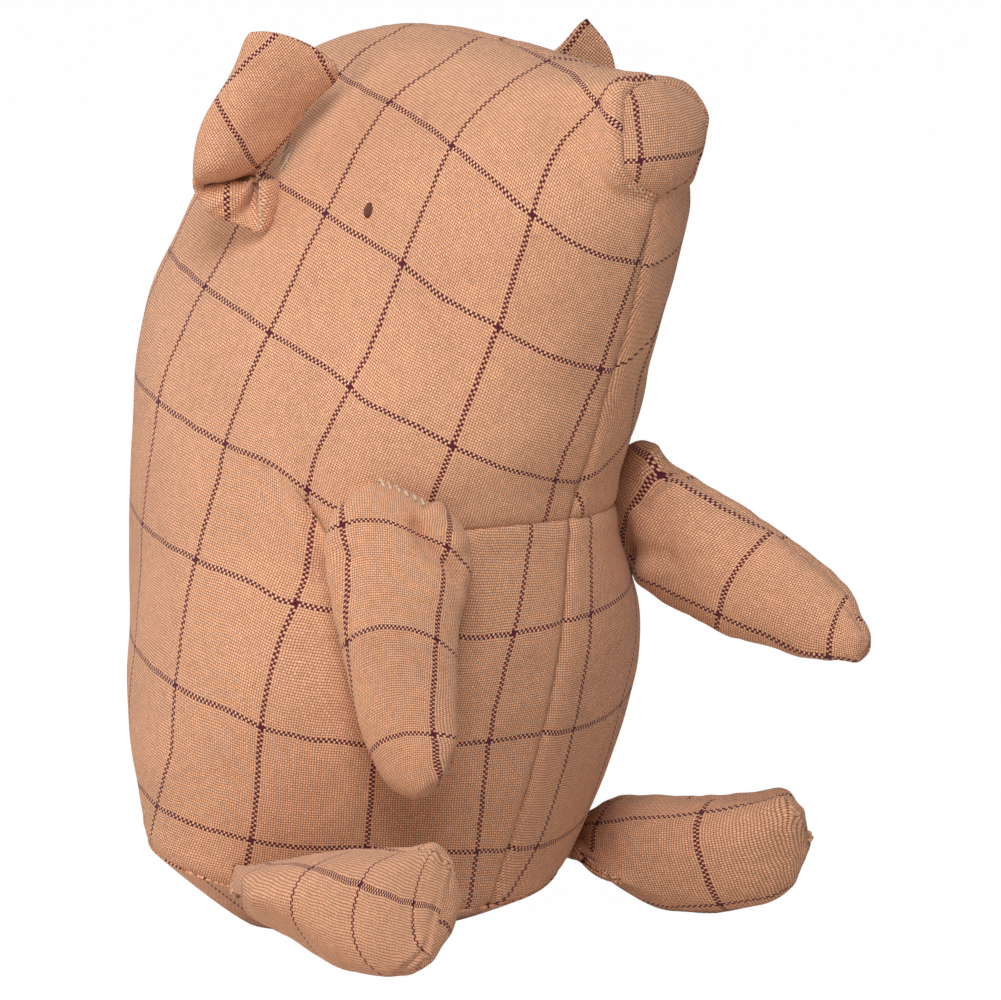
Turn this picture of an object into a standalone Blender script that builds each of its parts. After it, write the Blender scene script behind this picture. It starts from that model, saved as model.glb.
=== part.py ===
"""Plush pig of checked cloth: two sewn side panels, snout, base, stuffed limbs and hinged ears.

Metres, +Z up. The pig looks along -Y and sits on the plane z = 0, with the origin in the middle
of its flat seat. Its right side is at -X.
Every closed cloth form is drawn once as a hull of rings. The cloth pieces are the thickness
just inside the hull, cut apart along their seams, and the filling is what is left within.
"""
import math

import bmesh
import bpy
import numpy as np
from mathutils import Matrix, Vector
from mathutils.bvhtree import BVHTree

# Driving sizes
BODY_HEIGHT = 0.208
ARM_LENGTH = 0.071
LEG_LENGTH = 0.072
EAR_LENGTH = 0.046
TAIL_LENGTH = 0.030
EYE_LENGTH = 0.0040
CLOTH = 0.0010
EAR_CLOTH = 0.0008
SEAM_GAP = 0.0003
FILL_GAP = 0.0008
LIMB_CLEARANCE = 0.0008
TRIM_CLEARANCE = 0.0004
SNOUT_DOME = 0.0022
POUCH_TOP = 0.040

# Body outline along the centre line, as shares of the body height, from the base to the snout
FRONT_SHARES = (
    (-0.183, 0.030), (-0.256, 0.203), (-0.298, 0.358), (-0.311, 0.483), (-0.337, 0.547),
    (-0.361, 0.613), (-0.398, 0.708), (-0.424, 0.794), (-0.441, 0.833),
)
BACK_SHARES = (
    (0.184, 0.118), (0.255, 0.237), (0.305, 0.406), (0.300, 0.624), (0.255, 0.771),
    (0.140, 0.927), (-0.037, 1.000), (-0.232, 0.991), (-0.440, 0.969),
)
HALF_WIDTH_SHARES = (0.263, 0.294, 0.277, 0.255, 0.207, 0.155, 0.130, 0.113, 0.073)
FORWARD_WIDTH_SHARES = (-0.2, 0.2, 0.2, 0.3, -0.1)
SQUARENESS_SHARES = (2.1, 2.0, 2.2, 2.1, 2.2)
BODY_RINGS = 27
BODY_SIDES = 32

# The base rolls under from its seam, and the snout disc is slightly domed: (size, rise) shares
BASE_ROLL_SHARES = ((0.86, 0.62), (0.72, 0.28), (0.60, 0.06), (0.50, 0.0), (0.25, 0.0))
SNOUT_DOME_SHARES = ((0.86, 0.45), (0.60, 0.85), (0.30, 1.0))

# Limb sections: (place along the length, half width, half depth, side shift), as length shares
ARM_SECTION_SHARES = (
    (0.000, 0.135, 0.036, 0.000), (0.035, 0.170, 0.052, 0.000), (0.120, 0.210, 0.080, 0.000),
    (0.240, 0.228, 0.108, 0.000), (0.380, 0.215, 0.122, 0.000), (0.520, 0.190, 0.122, 0.000),
    (0.660, 0.168, 0.114, 0.006), (0.790, 0.148, 0.098, 0.018), (0.890, 0.120, 0.078, 0.028),
    (0.960, 0.086, 0.055, 0.034), (1.000, 0.054, 0.034, 0.036),
)
LEG_SECTION_SHARES = (
    (0.000, 0.062, 0.050, 0.000), (0.040, 0.090, 0.080, 0.000), (0.140, 0.120, 0.110, 0.000),
    (0.280, 0.146, 0.142, 0.012), (0.420, 0.168, 0.170, 0.036), (0.560, 0.190, 0.184, 0.052),
    (0.700, 0.200, 0.184, 0.064), (0.820, 0.196, 0.165, 0.072), (0.910, 0.184, 0.126, 0.076),
    (0.970, 0.166, 0.078, 0.080), (1.000, 0.145, 0.044, 0.080),
)
LIMB_SIDES = 20
ARM_SQUARENESS = 2.2
LEG_SQUARENESS = 2.3

# A limb's filling stops short of both ends and is rounded there: (size, rise) shares
FILL_SKIPS_RINGS = 2
FILL_END_SIZE_SHARE = 0.6
FILL_END_RISE_SHARES = (0.05, 0.065)

# Ear corners: (outer edge point, inner edge point) for each row from root to tip, as length shares
EAR_RIGHT_SHARES = (
    ((-0.10, 0.01, -0.22), (0.10, -0.01, 0.22)),
    ((-0.17, 0.08, -0.13), (-0.02, -0.03, 0.19)),
    ((-0.28, 0.20, 0.09), (0.05, -0.12, 0.36)),
    ((-0.22, 0.16, 0.42), (0.10, -0.25, 0.52)),
    ((-0.12, 0.03, 0.77), (0.16, -0.37, 0.62)),
)
EAR_LEFT_SHARES = (
    ((0.10, 0.01, -0.22), (-0.10, -0.01, 0.22)),
    ((0.26, -0.05, -0.07), (0.02, -0.14, 0.33)),
    ((0.41, -0.23, 0.11), (0.11, -0.29, 0.46)),
    ((0.48, -0.49, 0.30), (0.21, -0.47, 0.61)),
    ((0.47, -0.71, 0.49), (0.32, -0.68, 0.73)),
)
EAR_BULGE_SHARE = 0.07
EAR_BULGE_START_SHARE = 0.15
EAR_ROWS = 12
EAR_COLUMNS = 8

# Eye pad, as shares of its length
EYE_WIDTH_SHARE = 0.62
EYE_RISE_SHARE = 0.16

# Curled tail, as shares of its length
TAIL_RADIUS_SHARE = 0.085
TAIL_ROOT_SHARE = 0.75
TAIL_TIP_SHARE = 0.45
TAIL_CURL_SHARE = 0.24
TAIL_CURL_LOSS_SHARE = 0.35
TAIL_SIDE_STEP_SHARE = 0.12
TAIL_BACK_STEP_SHARE = 0.28
TAIL_CURL_DEGREES = 260.0
TAIL_STEPS = 14
TAIL_SIDES = 10

# Places on the body, as shares of the body height
EAR_ROOT_SHARES = (0.142, 0.014, 0.822)
ARM_RIGHT_ROOT_SHARES = (-0.208, -0.250, 0.536)
ARM_LEFT_ROOT_SHARES = (0.206, -0.251, 0.471)
LEG_ROOT_SHARES = (0.252, -0.045, 0.052)
EYE_PLACE_SHARES = (0.139, -0.141, 0.813)
TAIL_PLACE_SHARES = (0.0, 0.330, 0.300)

# Directions, which have no size: along the limb, and along the line that its root is sewn on
ARM_RIGHT_AIM = (0.010, -0.020, -1.0)
ARM_RIGHT_SEWN_LINE = (0.66, -0.73, -0.18)
ARM_LEFT_AIM = (0.000, -0.912, -0.410)
ARM_LEFT_SEWN_LINE = (0.02, -0.38, 0.92)
ARM_LEFT_SAG_SHARE = 0.05
LEG_RIGHT_SPLAY_DEGREES = 5.0
LEG_LEFT_SPLAY_DEGREES = 9.0
LEG_ROLL_DEGREES = 12.0

# Angles at which each limb and ear is pressed clear of the body, from its joint's range
ARM_RIGHT_ANGLES = (0, -10, -25, -40, -55, -70)
ARM_LEFT_ANGLES = (-10, 0, 10, 20, 30)
LEG_ANGLES = (0, 10, 20, 30, 40)
EAR_ANGLES = (-12, -6, 0, 6, 12)
TAIL_ANGLES = (-15, 0, 15)
PRESS_SWEEPS = 3

# Walls stay even at a sharp edge up to this factor, and edges steeper than this stay sharp
SHELL_FACTOR_LIMIT = 1.6
SHARP_DEGREES = 40.0

# Colours seen in the photo, as sRGB
CLOTH_COLOUR = (0.84, 0.65, 0.52)
FIBRE_COLOUR = (0.93, 0.92, 0.89)
PELLET_COLOUR = (0.80, 0.78, 0.74)
THREAD_COLOUR = (0.20, 0.09, 0.07)
CLOTH_ROUGHNESS = 0.92
THREAD_ROUGHNESS = 0.7
FILLING_ROUGHNESS = 1.0


def clear_scene():
    """Remove what the file opened with."""
    for thing in list(bpy.data.objects):
        bpy.data.objects.remove(thing, do_unlink=True)
    for mesh in list(bpy.data.meshes):
        bpy.data.meshes.remove(mesh)


def cloth_material(name, colour, roughness=CLOTH_ROUGHNESS):
    """A matt Principled material for one sub-part."""
    material = bpy.data.materials.new(name)
    material.use_nodes = True
    shader = material.node_tree.nodes["Principled BSDF"]
    linear = [((c + 0.055) / 1.055) ** 2.4 for c in colour]
    shader.inputs["Base Color"].default_value = (*linear, 1.0)
    shader.inputs["Roughness"].default_value = roughness
    shader.inputs["Metallic"].default_value = 0.0
    return material


def spline(values, places):
    """Natural cubic spline through evenly spaced values, read at places from 0 to 1."""
    values = np.atleast_2d(np.array(values, float).T).T
    count = len(values)
    matrix = np.eye(count)
    right = np.zeros_like(values)
    for i in range(1, count - 1):
        matrix[i, i - 1:i + 2] = (1.0, 4.0, 1.0)
        right[i] = 6.0 * (values[i + 1] - 2.0 * values[i] + values[i - 1])
    bends = np.linalg.solve(matrix, right)
    out = []
    for place in places:
        x = min(max(place, 0.0), 1.0) * (count - 1)
        i = min(int(x), count - 2)
        b = x - i
        a = 1.0 - b
        curve = ((a ** 3 - a) * bends[i] + (b ** 3 - b) * bends[i + 1]) / 6.0
        out.append(a * values[i] + b * values[i + 1] + curve)
    return np.array(out)


def super_circle(angle, squareness):
    """Cosine and sine of an angle, drawn towards a square as squareness grows past 2."""
    power = 2.0 / squareness
    c, s = math.cos(angle), math.sin(angle)
    return math.copysign(abs(c) ** power, c), math.copysign(abs(s) ** power, s)


def closed_hull(rings, first_cap, last_cap, side_tags, cap_tags):
    """Closed mesh of rings with shrinking cap rings, each face tagged with its piece.

    A cap is a list of rings and a last point, in from the hull's own end ring. side_tags
    names the piece of each face around the ring: the first half, then the second half.
    """
    tags = []
    mesh = bmesh.new()
    rows = [[mesh.verts.new(p) for p in ring] for ring in rings]
    count = len(rows[0])

    def band(low, high, tag_of):
        for j in range(count):
            k = (j + 1) % count
            mesh.faces.new((low[j], low[k], high[k], high[j]))
            tags.append(tag_of(j))

    for low, high in zip(rows, rows[1:]):
        band(low, high, lambda j: side_tags[0] if j < count // 2 else side_tags[1])
    for edge_row, cap, tag, flip in ((rows[0], first_cap, cap_tags[0], True),
                                     (rows[-1], last_cap, cap_tags[1], False)):
        inner = edge_row
        for ring in cap[0]:
            row = [mesh.verts.new(p) for p in ring]
            band(*((row, inner) if flip else (inner, row)), lambda j, tag=tag: tag)
            inner = row
        centre = mesh.verts.new(cap[1])
        for j in range(count):
            k = (j + 1) % count
            pair = (inner[k], inner[j]) if flip else (inner[j], inner[k])
            mesh.faces.new((*pair, centre))
            tags.append(tag)
    return finish_hull(mesh, tags)


def finish_hull(mesh, tags):
    """Set the piece numbers, turn all faces outward and return the mesh with its piece names."""
    names = sorted(set(tags))
    mesh.faces.ensure_lookup_table()
    for face, tag in zip(mesh.faces, tags):
        face.material_index = names.index(tag)
    bmesh.ops.recalc_face_normals(mesh, faces=mesh.faces)
    mesh.verts.ensure_lookup_table()
    mesh.verts.index_update()
    mesh.normal_update()
    return mesh, names


def new_object(name, mesh, material, parent=None, matrix=None):
    """Object from a bmesh, smooth but for its sharp edges."""
    bmesh.ops.recalc_face_normals(mesh, faces=mesh.faces)
    data = bpy.data.meshes.new(name)
    mesh.to_mesh(data)
    mesh.free()
    data.materials.append(material)
    for polygon in data.polygons:
        polygon.material_index = 0
    data.shade_smooth()
    data.set_sharp_from_angle(angle=math.radians(SHARP_DEGREES))
    thing = bpy.data.objects.new(name, data)
    bpy.context.scene.collection.objects.link(thing)
    if matrix is not None:
        thing.matrix_world = matrix
    if parent is not None:
        thing.parent = parent
    return thing


def inward(vertex, depth):
    """The point a depth under a hull vertex, further in at a sharp edge so that walls stay even."""
    return vertex.co - vertex.normal * depth * min(vertex.calc_shell_factor(), SHELL_FACTOR_LIMIT)


def seam_draw(vertex, piece):
    """How far a border vertex draws in from its seams, so that half the gap is on each side."""
    rows = []
    for edge in vertex.link_edges:
        sides = [f.material_index for f in edge.link_faces]
        if sides[0] == sides[1] or piece not in sides:
            continue
        face = edge.link_faces[sides.index(piece)]
        along = (edge.verts[1].co - edge.verts[0].co).normalized()
        across = along.cross(vertex.normal).normalized()
        if across.dot(face.calc_center_median() - vertex.co) < 0.0:
            across.negate()
        rows.append(across)
    if not rows:
        return Vector((0.0, 0.0, 0.0))
    draw = np.linalg.lstsq(np.array(rows), np.full(len(rows), SEAM_GAP / 2), rcond=0.05)[0]
    return Vector(draw)


def cloth_piece(name, hull, piece, material, parent=None):
    """One cut piece of the hull's cloth: outer face, inner face and the cut edge between them."""
    faces = [f for f in hull.faces if f.material_index == piece]
    verts = {v for f in faces for v in f.verts}
    mesh = bmesh.new()
    outer = {}
    inner = {}
    for vertex in sorted(verts, key=lambda v: v.index):
        draw = seam_draw(vertex, piece)
        outer[vertex] = mesh.verts.new(vertex.co + draw)
        inner[vertex] = mesh.verts.new(inward(vertex, CLOTH) + draw)
    for face in faces:
        mesh.faces.new([outer[v] for v in face.verts])
        mesh.faces.new([inner[v] for v in reversed(face.verts)])
        for edge in face.edges:
            if all(f.material_index == piece for f in edge.link_faces):
                continue
            a, b = edge.verts
            mesh.faces.new((outer[a], outer[b], inner[b], inner[a]))
    return new_object(name, mesh, material, parent)


def body_rings():
    """Rings of the body, from the base seam up and forward to the edge of the snout disc."""
    places = np.linspace(0.0, 1.0, BODY_RINGS)
    front = spline(FRONT_SHARES, places) * BODY_HEIGHT
    back = spline(BACK_SHARES, places) * BODY_HEIGHT
    width = spline(HALF_WIDTH_SHARES, places) * BODY_HEIGHT
    forward = spline(FORWARD_WIDTH_SHARES, places)
    square = spline(SQUARENESS_SHARES, places)
    rings = []
    for i in range(BODY_RINGS):
        middle = (front[i] + back[i]) / 2
        half = (front[i] - back[i]) / 2
        ring = []
        for j in range(BODY_SIDES):
            c, s = super_circle(2 * math.pi * j / BODY_SIDES, square[i][0])
            y, z = middle + half * c
            x = -width[i][0] * s * (1 + forward[i][0] * c)
            ring.append(Vector((x if j % (BODY_SIDES // 2) else 0.0, y, z)))
        rings.append(ring)
    return rings


def body_hull():
    """The closed outer form of head and body, tagged by cloth piece."""
    rings = body_rings()
    base_middle = sum(rings[0], Vector()) / BODY_SIDES
    base_cap = []
    for size, rise in BASE_ROLL_SHARES:
        ring = [base_middle.lerp(p, size) for p in rings[0]]
        base_cap.append([Vector((p.x, p.y, q.z * rise)) for p, q in zip(ring, rings[0])])
    snout_middle = sum(rings[-1], Vector()) / BODY_SIDES
    snout_cap = []
    for size, rise in SNOUT_DOME_SHARES:
        dome = Vector((0.0, -SNOUT_DOME * rise, 0.0))
        snout_cap.append([snout_middle.lerp(p, size) + dome for p in rings[-1]])
    return closed_hull(
        rings,
        (base_cap, Vector((base_middle.x, base_middle.y, 0.0))),
        (snout_cap, snout_middle - Vector((0.0, SNOUT_DOME, 0.0))),
        ("side_panel_right", "side_panel_left"),
        ("base_panel", "snout_panel"),
    )


def press_clear(mesh, tree, matrix, axis, angles, clearance):
    """Press a limb's vertices out of the body at every angle that its joint can take.

    The limb stays one soft form: where it would pass into the body as it turns, its side is
    pushed flat along the body's surface, as a stuffed limb is.
    """
    back = matrix.inverted()
    for _ in range(PRESS_SWEEPS):
        for angle in angles:
            turn = matrix @ Matrix.Rotation(math.radians(angle), 4, axis)
            unturn = Matrix.Rotation(-math.radians(angle), 4, axis) @ back
            for vertex in mesh.verts:
                point = turn @ vertex.co
                place, normal = tree.find_nearest(point)[:2]
                depth = (point - place).dot(normal)
                if depth < clearance:
                    vertex.co = unturn @ (point + normal * (clearance - depth))
    mesh.normal_update()


def rest_on_floor(mesh, matrix):
    """Flatten a limb where it would pass below the floor."""
    back = matrix.inverted()
    for vertex in mesh.verts:
        point = matrix @ vertex.co
        if point.z < 0.0:
            point.z = 0.0
            vertex.co = back @ point
    mesh.normal_update()


def limb_hull(length, sections, squareness, sag):
    """Stuffed limb along its local -Z: width along X, depth along Y, root at the origin.

    Its front half lies to +Y. Sag is how far its middle hangs off the line from root to tip.
    """
    rings = []
    for place, half_width, half_depth, shift in sections:
        ring = []
        for j in range(LIMB_SIDES):
            c, s = super_circle(2 * math.pi * j / LIMB_SIDES, squareness)
            x = c * half_width + shift - 2 * sag * math.sqrt(place) * (1 - place)
            y = s * half_depth
            ring.append(Vector((x, y, -place)) * length)
        rings.append(ring)
    mesh = bmesh.new()
    rows = [[mesh.verts.new(p) for p in ring] for ring in rings]
    half = LIMB_SIDES // 2
    tags = []
    for low, high in zip(rows, rows[1:]):
        for j in range(LIMB_SIDES):
            k = (j + 1) % LIMB_SIDES
            mesh.faces.new((low[j], low[k], high[k], high[j]))
            tags.append("front" if j < half else "rear")
    for row in (rows[0], rows[-1]):
        seam = [row[0]]
        for j in range(1, half):
            seam.append(mesh.verts.new((row[j].co + row[LIMB_SIDES - j].co) / 2))
        seam.append(row[half])
        for j in range(half):
            for side, tag in ((1, "front"), (-1, "rear")):
                a = row[(side * j) % LIMB_SIDES]
                b = row[(side * (j + 1)) % LIMB_SIDES]
                corners = []
                for v in (a, b, seam[j + 1], seam[j]):
                    if v not in corners:
                        corners.append(v)
                mesh.faces.new(corners)
                tags.append(tag)
    return finish_hull(mesh, tags)


def limb_filling(name, hull, material, parent):
    """Stuffing of a limb: the hull's middle rings drawn in past the cloth, with rounded ends."""
    rings = []
    count = len(hull.verts) - 2 * (LIMB_SIDES // 2 - 1)
    for first in range(0, count, LIMB_SIDES):
        ring = [hull.verts[first + j] for j in range(LIMB_SIDES)]
        rings.append([inward(v, CLOTH + FILL_GAP) for v in ring])
    rings = rings[FILL_SKIPS_RINGS:-FILL_SKIPS_RINGS]
    caps = []
    for ring, beyond in ((rings[0], rings[1]), (rings[-1], rings[-2])):
        middle = sum(ring, Vector()) / LIMB_SIDES
        ahead = middle - sum(beyond, Vector()) / LIMB_SIDES
        edge_rise, middle_rise = (ahead * share for share in FILL_END_RISE_SHARES)
        end_ring = [middle.lerp(p, FILL_END_SIZE_SHARE) + edge_rise for p in ring]
        caps.append(([end_ring], middle + middle_rise))
    mesh = closed_hull(rings, caps[0], caps[1], ("fill", "fill"), ("fill", "fill"))[0]
    return new_object(name, mesh, material, parent)


def limb_frame(place, aim, sewn_line):
    """Matrix whose -Z runs along the limb and whose X runs along the line of its root."""
    down = Vector(aim).normalized()
    across = Vector(sewn_line)
    across = (across - down * across.dot(down)).normalized()
    depth = (-down).cross(across)
    matrix = Matrix((across, depth, -down)).transposed().to_4x4()
    matrix.translation = place
    return matrix


def hinge(name, matrix):
    """Empty on a joint's axis, to which the moving pieces are parented."""
    empty = bpy.data.objects.new(name, None)
    bpy.context.scene.collection.objects.link(empty)
    empty.empty_display_size = CLOTH
    empty.matrix_world = matrix
    return empty


def make_limb(name, matrix, shape, tree, axis, angles):
    """Two cloth skins and the stuffing of one arm or leg, hung on its hinge."""
    hull, names = limb_hull(*shape)
    press_clear(hull, tree, matrix, axis, angles, LIMB_CLEARANCE)
    rest_on_floor(hull, matrix)
    empty = hinge(name + "_hinge", matrix)
    front_is_outer = matrix.col[1].x * matrix.translation.x > 0.0
    sides = (("outer", "front" if front_is_outer else "rear"),
             ("inner", "rear" if front_is_outer else "front"))
    for label, tag in sides:
        piece_name = name + "_" + label + "_skin"
        material = cloth_material(piece_name, CLOTH_COLOUR)
        cloth_piece(piece_name, hull, names.index(tag), material, empty)
    material = cloth_material(name + "_stuffing", FIBRE_COLOUR, FILLING_ROUGHNESS)
    limb_filling(name + "_stuffing", hull, material, empty)
    hull.free()


def make_arms(tree):
    """Both arms: the right one hangs at the side, and the left one is held out."""
    right_root = Vector(ARM_RIGHT_ROOT_SHARES) * BODY_HEIGHT
    left_root = Vector(ARM_LEFT_ROOT_SHARES) * BODY_HEIGHT
    right = limb_frame(right_root, ARM_RIGHT_AIM, ARM_RIGHT_SEWN_LINE)
    left = limb_frame(left_root, ARM_LEFT_AIM, ARM_LEFT_SEWN_LINE)
    arms = (
        ("arm_right", right, ARM_RIGHT_ANGLES, 0.0),
        ("arm_left", left, ARM_LEFT_ANGLES, ARM_LEFT_SAG_SHARE),
    )
    for name, matrix, angles, sag in arms:
        shape = (ARM_LENGTH, ARM_SECTION_SHARES, ARM_SQUARENESS, sag)
        make_limb(name, matrix, shape, tree, "X", angles)


def make_legs(tree):
    """Both legs, lying forward beside the body, each on an upright hinge at its root."""
    for name, side, degrees in (("leg_right", -1, LEG_RIGHT_SPLAY_DEGREES),
                                ("leg_left", 1, LEG_LEFT_SPLAY_DEGREES)):
        x, y, z = LEG_ROOT_SHARES
        place = Vector((side * x, y, z)) * BODY_HEIGHT
        splay = math.radians(degrees)
        aim = (side * math.sin(splay), -math.cos(splay), 0.0)
        roll = math.radians(LEG_ROLL_DEGREES)
        upright = (-side * math.sin(roll), 0.0, math.cos(roll))
        matrix = limb_frame(place, aim, upright)
        axis = matrix.to_3x3().inverted() @ Vector((0.0, 0.0, 1.0))
        angles = [side * angle for angle in LEG_ANGLES]
        shape = (LEG_LENGTH, LEG_SECTION_SHARES, LEG_SQUARENESS, 0.0)
        make_limb(name, matrix, shape, tree, axis, angles)


def ear_grid(corner_shares):
    """Points of the ear's middle sheet, bulging outward between its two edges."""
    rows = spline([[c for point in row for c in point] for row in corner_shares],
                  np.linspace(0.0, 1.0, EAR_ROWS))
    grid = []
    for i, row in enumerate(rows):
        outer, inner = Vector(row[:3]), Vector(row[3:])
        rise = math.sin(math.pi * min(1.0, EAR_BULGE_START_SHARE + i / (EAR_ROWS - 1)))
        lift = (outer - inner).cross(Vector((0.0, 0.0, 1.0))).normalized()
        lift *= EAR_BULGE_SHARE * rise
        if lift.y > 0.0:
            lift.negate()
        line = []
        for j in range(EAR_COLUMNS):
            share = j / (EAR_COLUMNS - 1)
            arch = 4 * share * (1 - share)
            line.append((outer.lerp(inner, share) + lift * arch) * EAR_LENGTH)
        grid.append(line)
    return grid


def sheet_mesh(grid):
    """Open mesh of a grid of points."""
    mesh = bmesh.new()
    rows = [[mesh.verts.new(p) for p in line] for line in grid]
    for low, high in zip(rows, rows[1:]):
        for j in range(len(low) - 1):
            mesh.faces.new((low[j], low[j + 1], high[j + 1], high[j]))
    mesh.normal_update()
    mesh.verts.index_update()
    return mesh


def sheet_layer(name, sheet, near, far, material, parent):
    """One closed cloth layer between two distances from an open sheet."""
    mesh = bmesh.new()
    low = [mesh.verts.new(v.co + v.normal * near) for v in sheet.verts]
    high = [mesh.verts.new(v.co + v.normal * far) for v in sheet.verts]
    for face in sheet.faces:
        index = [v.index for v in face.verts]
        mesh.faces.new([high[i] for i in index])
        mesh.faces.new([low[i] for i in reversed(index)])
    for edge in sheet.edges:
        if len(edge.link_faces) == 1:
            a, b = (v.index for v in edge.verts)
            mesh.faces.new((low[a], low[b], high[b], high[a]))
    return new_object(name, mesh, material, parent)


def seat_root_row(sheet, tree, matrix, reach):
    """Lay the ear's first row along the head, at the reach from its surface."""
    back = matrix.inverted()
    sheet.verts.ensure_lookup_table()
    for vertex in sheet.verts[:EAR_COLUMNS]:
        place, normal = tree.find_nearest(matrix @ vertex.co)[:2]
        vertex.co = back @ (place + normal * reach)


def make_ears(tree):
    """Two ears of two cloth layers each, hinged on the line that sews them to the head."""
    reach = EAR_CLOTH + SEAM_GAP / 2 + TRIM_CLEARANCE
    ears = (("ear_right", -1, EAR_RIGHT_SHARES), ("ear_left", 1, EAR_LEFT_SHARES))
    for name, side, corners in ears:
        x, y, z = EAR_ROOT_SHARES
        place, normal = tree.find_nearest(Vector((side * x, y, z)) * BODY_HEIGHT)[:2]
        matrix = Matrix.Translation(place + normal * reach)
        axis = (Vector(corners[0][1]) - Vector(corners[0][0])).normalized()
        sheet = sheet_mesh(ear_grid(corners))
        seat_root_row(sheet, tree, matrix, reach)
        press_clear(sheet, tree, matrix, axis, EAR_ANGLES, reach)
        facing_front = sum((f.normal.y for f in sheet.faces)) < 0.0
        empty = hinge(name + "_hinge", matrix)
        near, far = SEAM_GAP / 2, SEAM_GAP / 2 + EAR_CLOTH
        layers = (("_front", 1 if facing_front else -1), ("_back", -1 if facing_front else 1))
        for layer, sign in layers:
            material = cloth_material(name + layer, CLOTH_COLOUR)
            sheet_layer(name + layer, sheet, sign * near, sign * far, material, empty)
        sheet.free()


def make_body(hull, names):
    """Side panels, base and snout of cloth, and the two fillings inside them."""
    for name in names:
        cloth_piece(name, hull, names.index(name), cloth_material(name, CLOTH_COLOUR))
    core = hull.copy()
    core.verts.ensure_lookup_table()
    moved = [inward(v, CLOTH + FILL_GAP) for v in core.verts]
    for vertex, place in zip(core.verts, moved):
        vertex.co = place
    fillings = (
        ("body_stuffing", POUCH_TOP + SEAM_GAP / 2, True, FIBRE_COLOUR),
        ("pellet_pouch", POUCH_TOP - SEAM_GAP / 2, False, PELLET_COLOUR),
    )
    for name, height, above, colour in fillings:
        part = core.copy()
        every = part.verts[:] + part.edges[:] + part.faces[:]
        cut = bmesh.ops.bisect_plane(part, geom=every, plane_co=(0.0, 0.0, height),
                                     plane_no=(0.0, 0.0, 1.0), clear_inner=above,
                                     clear_outer=not above)
        rim = [e for e in cut["geom_cut"] if isinstance(e, bmesh.types.BMEdge)]
        bmesh.ops.triangle_fill(part, use_beauty=True, use_dissolve=False, edges=rim)
        new_object(name, part, cloth_material(name, colour, FILLING_ROUGHNESS))
    core.free()


def make_eyes(tree):
    """Two stitched oval eyes, each a low pad of thread on the cheek."""
    for name, side in (("eye_right", -1), ("eye_left", 1)):
        x, y, z = EYE_PLACE_SHARES
        place, normal = tree.find_nearest(Vector((side * x, y, z)) * BODY_HEIGHT)[:2]
        mesh = bmesh.new()
        bmesh.ops.create_uvsphere(mesh, u_segments=16, v_segments=8, radius=EYE_LENGTH / 2)
        bmesh.ops.scale(mesh, vec=(EYE_WIDTH_SHARE, 1.0, EYE_RISE_SHARE), verts=mesh.verts)
        turn = normal.to_track_quat("Z", "Y").to_matrix().to_4x4()
        lift = EYE_LENGTH * EYE_RISE_SHARE / 2 + SEAM_GAP
        matrix = Matrix.Translation(place + normal * lift) @ turn
        material = cloth_material(name, THREAD_COLOUR, THREAD_ROUGHNESS)
        new_object(name, mesh, material, matrix=matrix)


def tail_ring(share, radius):
    """Ring of points round the tail's curled centre line, at a share of its length."""
    angle = share * math.radians(TAIL_CURL_DEGREES)
    curl = TAIL_LENGTH * TAIL_CURL_SHARE * (1 - TAIL_CURL_LOSS_SHARE * share)
    centre = Vector((
        TAIL_LENGTH * TAIL_SIDE_STEP_SHARE * share,
        math.sin(angle) * curl + TAIL_LENGTH * TAIL_BACK_STEP_SHARE * share,
        (math.cos(angle) - 1) * curl,
    ))
    ahead = Vector((0.0, math.cos(angle), -math.sin(angle)))
    side = Vector((1.0, 0.0, 0.0))
    up = side.cross(ahead)
    ring = []
    for j in range(TAIL_SIDES):
        turn = 2 * math.pi * j / TAIL_SIDES
        ring.append(centre + (side * math.cos(turn) + up * math.sin(turn)) * radius)
    return ring


def make_tail(tree):
    """Short curled tail of rolled cloth, hinged where it is sewn to the back."""
    place, normal = tree.find_nearest(Vector(TAIL_PLACE_SHARES) * BODY_HEIGHT)[:2]
    radius = TAIL_LENGTH * TAIL_RADIUS_SHARE
    matrix = Matrix.Translation(place + normal * TRIM_CLEARANCE)
    empty = hinge("tail_hinge", matrix)
    mesh = bmesh.new()
    rows = []
    for i in range(TAIL_STEPS + 1):
        share = i / TAIL_STEPS
        size = radius * (1 + (TAIL_TIP_SHARE - 1) * share)
        if i == 0:
            size *= TAIL_ROOT_SHARE
        rows.append([mesh.verts.new(p) for p in tail_ring(share, size)])
    for low, high in zip(rows, rows[1:]):
        for j in range(TAIL_SIDES):
            k = (j + 1) % TAIL_SIDES
            mesh.faces.new((low[j], low[k], high[k], high[j]))
    mesh.faces.new(list(reversed(rows[0])))
    mesh.faces.new(rows[-1])
    press_clear(mesh, tree, matrix, "X", TAIL_ANGLES, TRIM_CLEARANCE)
    new_object("tail", mesh, cloth_material("tail", CLOTH_COLOUR), empty)


def main():
    """Build the whole pig."""
    clear_scene()
    hull, names = body_hull()
    tree = BVHTree.FromBMesh(hull)
    make_body(hull, names)
    make_eyes(tree)
    make_tail(tree)
    make_ears(tree)
    make_arms(tree)
    make_legs(tree)
    hull.free()


main()
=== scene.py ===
"""Plush pig of checked linen, dressed over its CAD frame: cloth panels, seams, stitches and lights.

Lengths are in metres in the CAD's frame. Pixel places are read from the photograph, whose
frame is 1001 x 1000, and every one of them is cast onto the piece that carries it.
"""

import math
from functools import partial

import bmesh
import bpy
import numpy as np
from mathutils import Matrix, Vector
from mathutils.bvhtree import BVHTree
from mathutils.interpolate import poly_3d_calc


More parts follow.
